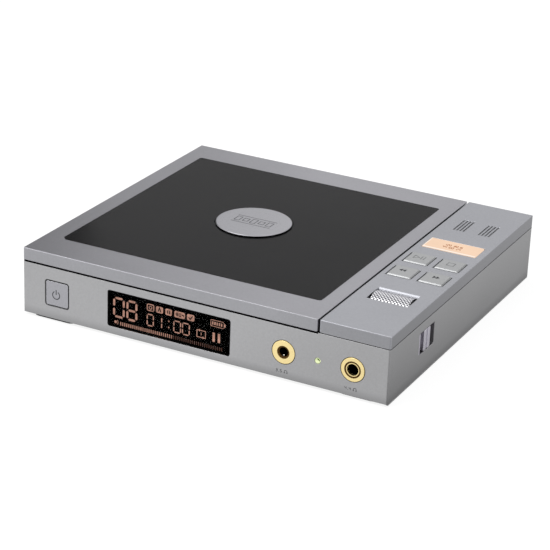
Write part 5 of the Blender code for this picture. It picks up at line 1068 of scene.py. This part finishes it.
class PLAYER_OT_sockets(bpy.types.Operator):
    """Gold rings of the two headphone sockets, their bores and the captions below them"""
    bl_idname = "player.sockets"
    bl_label = "Sockets"

    insides = {"jack_3_5": [(0.00254, 0.0004), (0.00262, 0.0)],
               "jack_4_4": [(0.00230, 0.00030), (0.00238, 0.00010), (0.00270, 0.00010), (0.00274, 0.0009),
                            (0.00336, 0.0009), (0.00340, 0.0)]}
    # Brown rings in the bores; the one in the 4.4 socket's groove stands in for the groove's shade: painted
    # shade.
    brown_rings = {"jack_3_5": (0.00190, 0.00256, 0.00035, 0.00060),
                  "jack_4_4": (0.00272, 0.00338, 0.00025, 0.00100)}
    ring_depth = 0.0014
    ring_inset = 0.00016
    ring_edge = 0.00028
    seat_width = 0.0006
    contact_place = Vector((-0.0001, 0.0011, -0.00155))
    contact_radius = 0.00042
    caption_height = 0.0013
    caption_level = 0.0022
    caption_line = 0.00022
    number_places = (-0.0029, -0.0011)
    point_place = (-0.00170, -0.00148)
    headphone_place = 0.00125

    def execute(self, context):
        for name, inside in self.insides.items():
            self.ring(name, inside)
        dress("socket_black", "jack_3_5_socket", "jack_4_4_socket")
        for name, (inner, outer, front, back) in self.brown_rings.items():
            self.turned(name, "brown_ring", [(inner, front), (inner, back), (outer, back), (outer, front)],
                        "brown_ring_and_groove_shade", "black_plastic")
            self.seat(name)
        self.contact("jack_3_5")
        for name in self.insides:
            self.caption(name)
        return {"FINISHED"}

    def turned(self, name, part, profile, finish, slot):
        """A turned piece on the middle line of a socket; depths count from the front of its collar."""
        low, _, centre = box_of(name + "_collar")
        middle = (centre.x, low.y, centre.z)
        return turned_piece(name + "_" + part, profile, middle, DEEP, finish, count=96)

    def ring(self, name, inside):
        """Turned gold ring; the inside is (radius, depth) points from the bore outwards."""
        low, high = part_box(name + "_collar")
        radius, last, edge = (high.x - low.x) / 2 - self.ring_inset, self.ring_depth, self.ring_edge
        bore, depth = inside[0]
        profile = [(bore, last), (bore, depth + 0.0001), *inside, (radius - edge, 0.0),
                   (radius - edge * 0.4, edge * 0.45), (radius, edge * 1.6), (radius, last)]
        made = self.turned(name, "ring", profile, "gold_plate_face", "gold_plate")
        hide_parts(name + "_collar")

    def seat(self, name):
        """Thin seat of the ring in the case's front, which stands a hair before it."""
        low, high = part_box(name + "_collar")
        hole, back = (high.x - low.x) / 2, self.ring_depth
        step = details().mark_height
        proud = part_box("main_case")[0].y - low.y - step
        outer, inner = hole + self.seat_width, hole + self.ring_inset
        self.turned(name, "seat", [(hole, back), (hole, proud), (outer, proud), (outer, proud + step),
                                   (inner, proud + step), (inner, back)], "seat_blasted", "case_metal")

    def contact(self, name):
        """Bright ball of the spring contact, deep in the bore."""
        low, _, centre = box_of(name + "_collar")
        place, radius = Vector((centre.x, low.y, centre.z)) + self.contact_place, self.contact_radius
        profile = [(0, -radius), *ring_points((0, 0), radius, 7, -1.2, 2.4), (0, radius)]
        turned_piece(name + "_contact", profile, place, DEEP, "contact_bright",
                     count=24, angle=60)

    def caption(self, name):
        """Size number with a small headphone sign, engraved under a socket."""
        centre, case = box_of(name + "_collar")[2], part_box("main_case")[0]
        marks = Inlay((centre.x, case.y, case.z + self.caption_level), ACROSS, UP)
        tall, thick = self.caption_height, self.caption_line
        for number, left in zip(name.split("_")[1:], self.number_places):
            digit(marks, int(number), left, 0, tall * 0.5, tall, thick)
        marks.box(self.point_place[0], 0, self.point_place[1], thick)
        middle, arch = self.headphone_place, tall * 0.46
        marks.stroke(ring_points((middle, tall * 0.52), arch, 14, -0.6, math.pi + 1.2), thick)
        for side in (-1, 1):
            x = middle + side * arch * 0.95
            marks.box(x - thick * 0.9, 0, x + thick * 0.9, tall * 0.34)
        marks.piece(name + "_caption", "engraved_marks", "case_metal")


class PLAYER_OT_status_light(bpy.types.Operator):
    """Small light between the sockets, with a dark crescent of painted reflection"""
    bl_idname = "player.status_light"
    bl_label = "Status light"

    crescent_radius = 0.00095

    def execute(self, context):
        dress("status_glow", "status_light")
        low, _, centre = box_of("status_light")
        # Dark crescent over the upper right of the light: painted reflection.
        dark_crescent = Inlay((centre.x, low.y, centre.z), ACROSS, UP)
        dark_crescent.shape(ring_points((0, 0), self.crescent_radius, 12, math.radians(-12), math.radians(125)))
        dark_crescent.piece("status_dark_crescent", "status_dark", "lit_green")
        return {"FINISHED"}


class PLAYER_OT_power_key(bpy.types.Operator):
    """Square power key with its engraved sign and the black lip over its gap"""
    bl_idname = "player.power_key"
    bl_label = "Power key"

    sign_left = 0.0004
    sign_down = 0.0005
    sign_radius = 0.00165
    sign_line = 0.000391
    cap = 0.0107
    cap_corner = 0.0010
    gap = 0.0003

    def execute(self, context):
        dress("power_satin", "power_button")
        low, _, centre = box_of("power_button")
        marks = Inlay((centre.x - self.sign_left, low.y, centre.z - self.sign_down), ACROSS, UP)
        width, radius = self.sign_line, self.sign_radius
        marks.stroke(ring_points((0, 0), radius, 22, math.radians(118), math.radians(304)), width)
        marks.box(-width / 2, radius * 0.12, width / 2, radius * 1.4)
        marks.piece("power_sign", "engraved_marks", "key_metal", "power_key")
        seam = Inlay((centre.x, low.y, centre.z), ACROSS, UP)
        half = (self.cap + self.gap) / 2
        seam.stroke(rounded_outline(half, half, self.cap_corner + self.gap / 2), self.gap, True)
        seam.piece("power_key_seam", "soft_rubber", "rubber")
        return {"FINISHED"}


class PLAYER_OT_keys(bpy.types.Operator):
    """Four square keys with their engraved signs and a black strip of painted shade along each key's left gap
    """
    bl_idname = "player.keys"
    bl_label = "Keys"

    sign = 0.0029
    fine_line = 0.0002
    gap = 0.0003
    seam = 0.00018
    rim = 0.0006
    rim_levels = (0.0005, 0.0013)
    stem = 0.0015
    corner = 0.0004

    def execute(self, context):
        for key, draw, values, shift in (("play_pause", self.play_pause, (), (0, 0.0004)),
                                         ("stop", self.stop, (), (0, 0.0004)),
                                         ("previous", self.arrows, (-1,), (-0.0007, 0.0008)),
                                         ("next", self.arrows, (1,), (0.0003, 0.0009))):
            low, high, centre = box_of(key + "_button")
            half = (high.x - low.x) / 2
            self.cap(key, centre, low.z, high.z, half)
            marks = Inlay((centre.x + shift[0], centre.y + shift[1], high.z), ACROSS, DEEP)
            draw(marks, *values)
            marks.piece(key + "_sign", "engraved_marks", "key_metal", key + "_key")
            # Black strip on the deck beside each key's left gap: painted shade.
            edge = half - self.rim + self.gap
            boxes_piece(key + "_seam", (centre.x, centre.y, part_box("control_deck")[1].z), ACROSS, DEEP,
                        [(-edge - self.seam, -edge, -edge, edge)], "seal_black", "rubber")
        return {"FINISHED"}

    def cap(self, key, centre, base, top, wide):
        """Stem, hidden rim and chamfered cap in one form."""
        cut, cap, stem, corner = details().key_chamfer, wide - self.rim, self.stem, self.corner
        under, over = (base + level for level in self.rim_levels)
        rows = [(level, half, half, bend) for level, half, bend in (
            (base, stem, stem), (under, stem, stem), (under, wide, corner), (over, wide, corner),
            (over, cap, corner), (top - cut, cap, corner), (top - cut * 0.06, cap - cut * 0.94, corner * 0.6),
            (top, cap - cut * 1.06, corner * 0.5))]
        made = stacked_piece(key + "_cap", rows, (centre.x, centre.y, 0), "key_satin",
                             key + "_key", angle=20)
        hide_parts(key + "_button")

    def play_pause(self, marks):
        """Open triangle and two open bars."""
        size, line = self.sign, self.fine_line
        marks.stroke([(-size * 0.85, -size / 2), (-size * 0.05, 0), (-size * 0.85, size / 2)], line, True)
        for x in (size * 0.25, size * 0.65):
            marks.stroke([(x + a * line * 0.6, b * size / 2) for a, b in CORNERS], line * 0.6, True)

    def stop(self, marks):
        """Open square."""
        marks.stroke([(a * self.sign / 2, b * self.sign / 2) for a, b in CORNERS], self.fine_line, True)

    def arrows(self, marks, way):
        """Two filled arrow heads that point one way."""
        size = self.sign * 0.5
        for shift in (-1, 0):
            tip, tail = way * (size * (shift + 1)), way * size * shift
            outline = [(tail, -size * 0.85), (tip, 0), (tail, size * 0.85)]
            marks.shape(outline if way > 0 else outline[::-1])


class PLAYER_OT_wheel(bpy.types.Operator):
    """Volume wheel with cut diamonds all round"""
    bl_idname = "player.wheel"
    bl_label = "Volume wheel"

    collar = 0.00012
    top_share = 0.66
    bore = 0.0016
    core_gap = 0.00003
    edge = 0.0001
    slot_rear = 0.0055
    slot_half = 0.0086
    lip_section = ((0.00060, 0.00060), (0.00098, 0.00098), (0.00040, 0.00110))

    def execute(self, context):
        low, high, centre = box_of("volume_wheel")
        radius, half = (high.z - low.z) / 2, (high.x - low.x) / 2
        self.knurl(centre, radius, half)
        self.body(centre, radius, half)
        self.lip(centre)
        dress("steel_drawn", "volume_axle")
        return {"FINISHED"}

    def knurl(self, centre, radius, half):
        """Flat-topped diamonds in staggered rows, cut short at both ends of the wheel."""
        pitch, reach = details().knurl_pitch, half - self.collar
        around, along = round(math.tau * radius / pitch), round(2 * reach / pitch)
        points, faces, tops, known = [], [], [], {}

        def corner(u, v, depth):
            key = (round(u * 1000), round(v * 1000) % (around * 1000), depth)
            if key not in known:
                known[key] = len(points)
                turn = math.tau * v / around
                points.append((centre.x - reach + u * 2 * reach / along,
                               centre.y + (radius - depth) * math.cos(turn),
                               centre.z + (radius - depth) * math.sin(turn)))
            return known[key]

        def diamond(u, v):
            ways = [(0.5, 0), (0, 0.5), (-0.5, 0), (0, -0.5)]
            if u < 0.25:
                ways = [(0, -0.5), (0.5, 0), (0, 0.5)]
            elif u > along - 0.25:
                ways = [(0, 0.5), (-0.5, 0), (0, -0.5)]
            outer = [corner(u + a, v + b, details().knurl_depth) for a, b in ways]
            inner = [corner(u + a * self.top_share, v + b * self.top_share, 0) for a, b in ways]
            tops.append(len(faces))
            faces.append(inner)
            for here in range(4 if len(ways) == 4 else 2):
                then = (here + 1) % len(ways)
                faces.append([outer[here], outer[then], inner[then], inner[here]])

        for v in range(around):
            for u in range(along):
                diamond(u + 0.5, v)
            for u in range(along + 1):
                diamond(u, v + 0.5)
        # Groove faces get the painted shade, the flat tops the painted highlight.
        wheel = add_piece("volume_wheel_knurl", points, faces, "wheel_groove_shade", "wheel", angle=12)
        wheel.data.materials.append(finish_named("wheel_highlit_tops"))
        for number in tops:
            wheel.data.polygons[number].material_index = 1
        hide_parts("volume_wheel")

    def body(self, centre, radius, half):
        """Core of the wheel with a plain collar at each end, painted dark: painted shade at the ends of its
        slot.
        """
        core, edge, reach = radius - details().knurl_depth - self.core_gap, self.edge, half - self.collar
        left = [(self.bore, -half), (radius - edge, -half), (radius, edge - half), (radius, -reach),
                (core, -reach)]
        profile = left + [(out, -along) for out, along in reversed(left)]
        made = turned_piece("volume_wheel_body", profile, centre, ACROSS, "wheel_body_shade", "wheel",
                            count=72)
        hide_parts("volume_wheel")

    def lip(self, centre):
        """Lip that carries the slot's rear chamfer a little further down; each corner is (forward, down)."""
        top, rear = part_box("control_deck")[1].z, centre.y + self.slot_rear
        points = [(centre.x + side * self.slot_half, rear - forward, top - down)
                  for side in (-1, 1) for forward, down in self.lip_section]
        faces = [[0, 1, 2], [5, 4, 3], [3, 4, 1, 0], [4, 5, 2, 1], [5, 3, 0, 2]]
        add_piece("wheel_slot_lip", points, faces, "deck_blasted")


class PLAYER_OT_side_slide(bpy.types.Operator):
    """Three-way slide on the right side, with painted light on its base left of the thumb and a painted
    highlight along the slot's front edge
    """
    bl_idname = "player.side_slide"
    bl_label = "Side slide"

    wall = 0.0024
    thumb_height = 0.0085
    thumb_half = 0.00286
    groove = 0.0012
    groove_depth = 0.0008
    bed_height = 0.00052
    plate_gap = 0.0003
    plate_reach = 0.0115
    slot_half = 0.00692
    highlight_width = 0.0010
    highlight_inside = 0.0004

    def execute(self, context):
        dress("slide_base", "selector_knob")
        dress("black_moulded", "selector_switch")
        right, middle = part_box("main_case")[1].x, box_of("selector_knob")[2]
        wall = right - self.wall
        dress_part("selector_knob", "slide_metal", lambda place: place.x > wall)

        def strip(name, x, y, left, end, finish, slot, body, height=None):
            """One upright strip as tall as the thumb."""
            box = (left, -self.thumb_height / 2, end, self.thumb_height / 2)
            boxes_piece(name, (x, y, middle.z), DEEP, UP, [box], finish, slot, body, height)

        strip("selector_groove_bed", right - self.groove_depth, middle.y, -self.groove / 2, self.groove / 2,
              "slide_metal", "steel", "selector", self.bed_height)
        # The base left of the thumb gets a lighter copy of its colour: painted light.
        strip("selector_lit_face", wall - self.plate_gap, middle.y, -self.plate_reach, -self.thumb_half,
              "slide_base_lit", "steel", "selector")
        # Bright strip along the slot's front edge: painted highlight.
        strip("selector_slot_highlight", right, middle.y - self.slot_half, self.highlight_inside - self.highlight_width,
              self.highlight_inside, "slide_metal", "case_metal", "player")
        return {"FINISHED"}


class PLAYER_OT_grille(bpy.types.Operator):
    """Cloth behind the two groups of slots"""
    bl_idname = "player.grille"
    bl_label = "Grille"

    slots = 4
    pitch = 0.0014
    rim = 0.0010
    width = 0.00062
    sink = 0.00018

    def execute(self, context):
        dress("grille_cloth", "grille_mesh")
        low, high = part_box("grille_mesh")
        half, rim = self.width / 2, self.rim
        starts = (low.x + rim, high.x - rim - (self.slots - 1) * self.pitch)
        middles = [start + number * self.pitch for start in starts for number in range(self.slots)]
        ribs = [(x - half, low.y + rim, x + half, high.y - rim) for x in middles]
        # Ribs in the slots take the lighter cloth: painted light.
        boxes_piece("grille_cloth_ribs", (0, 0, high.z), ACROSS, DEEP, ribs, "rib_cloth_lit", "black_plastic",
                    height=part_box("control_deck")[1].z - self.sink - high.z)
        return {"FINISHED"}


class PLAYER_OT_drive(bpy.types.Operator):
    """Tray, hub, lens sled and gear train under the lid"""
    bl_idname = "player.drive"
    bl_label = "Drive"

    def execute(self, context):
        dress("tray_moulded", "disc_tray")
        dress("hub_moulded", "spindle_hub")
        dress("black_moulded", "pickup_sled")
        dress("steel_drawn", "mech_chassis", "guide_rod_front", "guide_rod_rear", "spindle_shaft",
              "spindle_motor", "feed_motor", "tray_magnet", "hinge_pin_left", "hinge_pin_right")
        dress("lens_coated", "pickup_lens")
        dress("gear_milk", "feed_gear", "sled_rack")
        dress("brass_turned", "motor_pinion")
        return {"FINISHED"}


class PLAYER_OT_electronics(bpy.types.Operator):
    """Boards, cell, charging socket and the wheel's sensor"""
    bl_idname = "player.electronics"
    bl_label = "Electronics"

    def execute(self, context):
        dress("board_green", "main_board", "control_board", "power_board")
        dress("cell_film", "battery")
        dress("steel_drawn", "usb_c_socket")
        dress("black_moulded", "volume_encoder")
        return {"FINISHED"}


class PLAYER_PT_panel(bpy.types.Panel):
    """Lists the settings and the pieces"""
    bl_label = "Portable CD Player"
    bl_idname = "PLAYER_PT_panel"
    bl_space_type = "VIEW_3D"
    bl_region_type = "UI"
    bl_category = "Player"

    def draw(self, context):
        scene = context.scene
        for group in (scene.player_finishes, scene.player_details, scene.player_stage):
            box = self.layout.box()
            for name in group.bl_rna.properties.keys():
                if name not in ("rna_type", "name"):
                    box.prop(group, name)
        for operator in PIECES:
            self.layout.operator(operator.bl_idname)


PIECES = (PLAYER_OT_stage, PLAYER_OT_case, PLAYER_OT_lid, PLAYER_OT_badge, PLAYER_OT_label, PLAYER_OT_grille,
          PLAYER_OT_display, PLAYER_OT_sockets, PLAYER_OT_status_light, PLAYER_OT_power_key, PLAYER_OT_keys,
          PLAYER_OT_wheel, PLAYER_OT_side_slide, PLAYER_OT_drive, PLAYER_OT_electronics)
GROUPS = (PlayerFinishes, PlayerDetails, PlayerStage)


def register():
    for group in GROUPS + PIECES + (PLAYER_PT_panel,):
        bpy.utils.register_class(group)
    bpy.types.Scene.player_finishes = bpy.props.PointerProperty(type=PlayerFinishes)
    bpy.types.Scene.player_details = bpy.props.PointerProperty(type=PlayerDetails)
    bpy.types.Scene.player_stage = bpy.props.PointerProperty(type=PlayerStage)


def unregister():
    del bpy.types.Scene.player_finishes, bpy.types.Scene.player_details, bpy.types.Scene.player_stage
    for group in reversed(GROUPS + PIECES + (PLAYER_PT_panel,)):
        bpy.utils.unregister_class(group)


def main():
    """Makes every piece in order."""
    register()
    for operator in PIECES:
        group, name = operator.bl_idname.split(".")
        getattr(getattr(bpy.ops, group), name)()


if __name__ == "__main__":
    main()
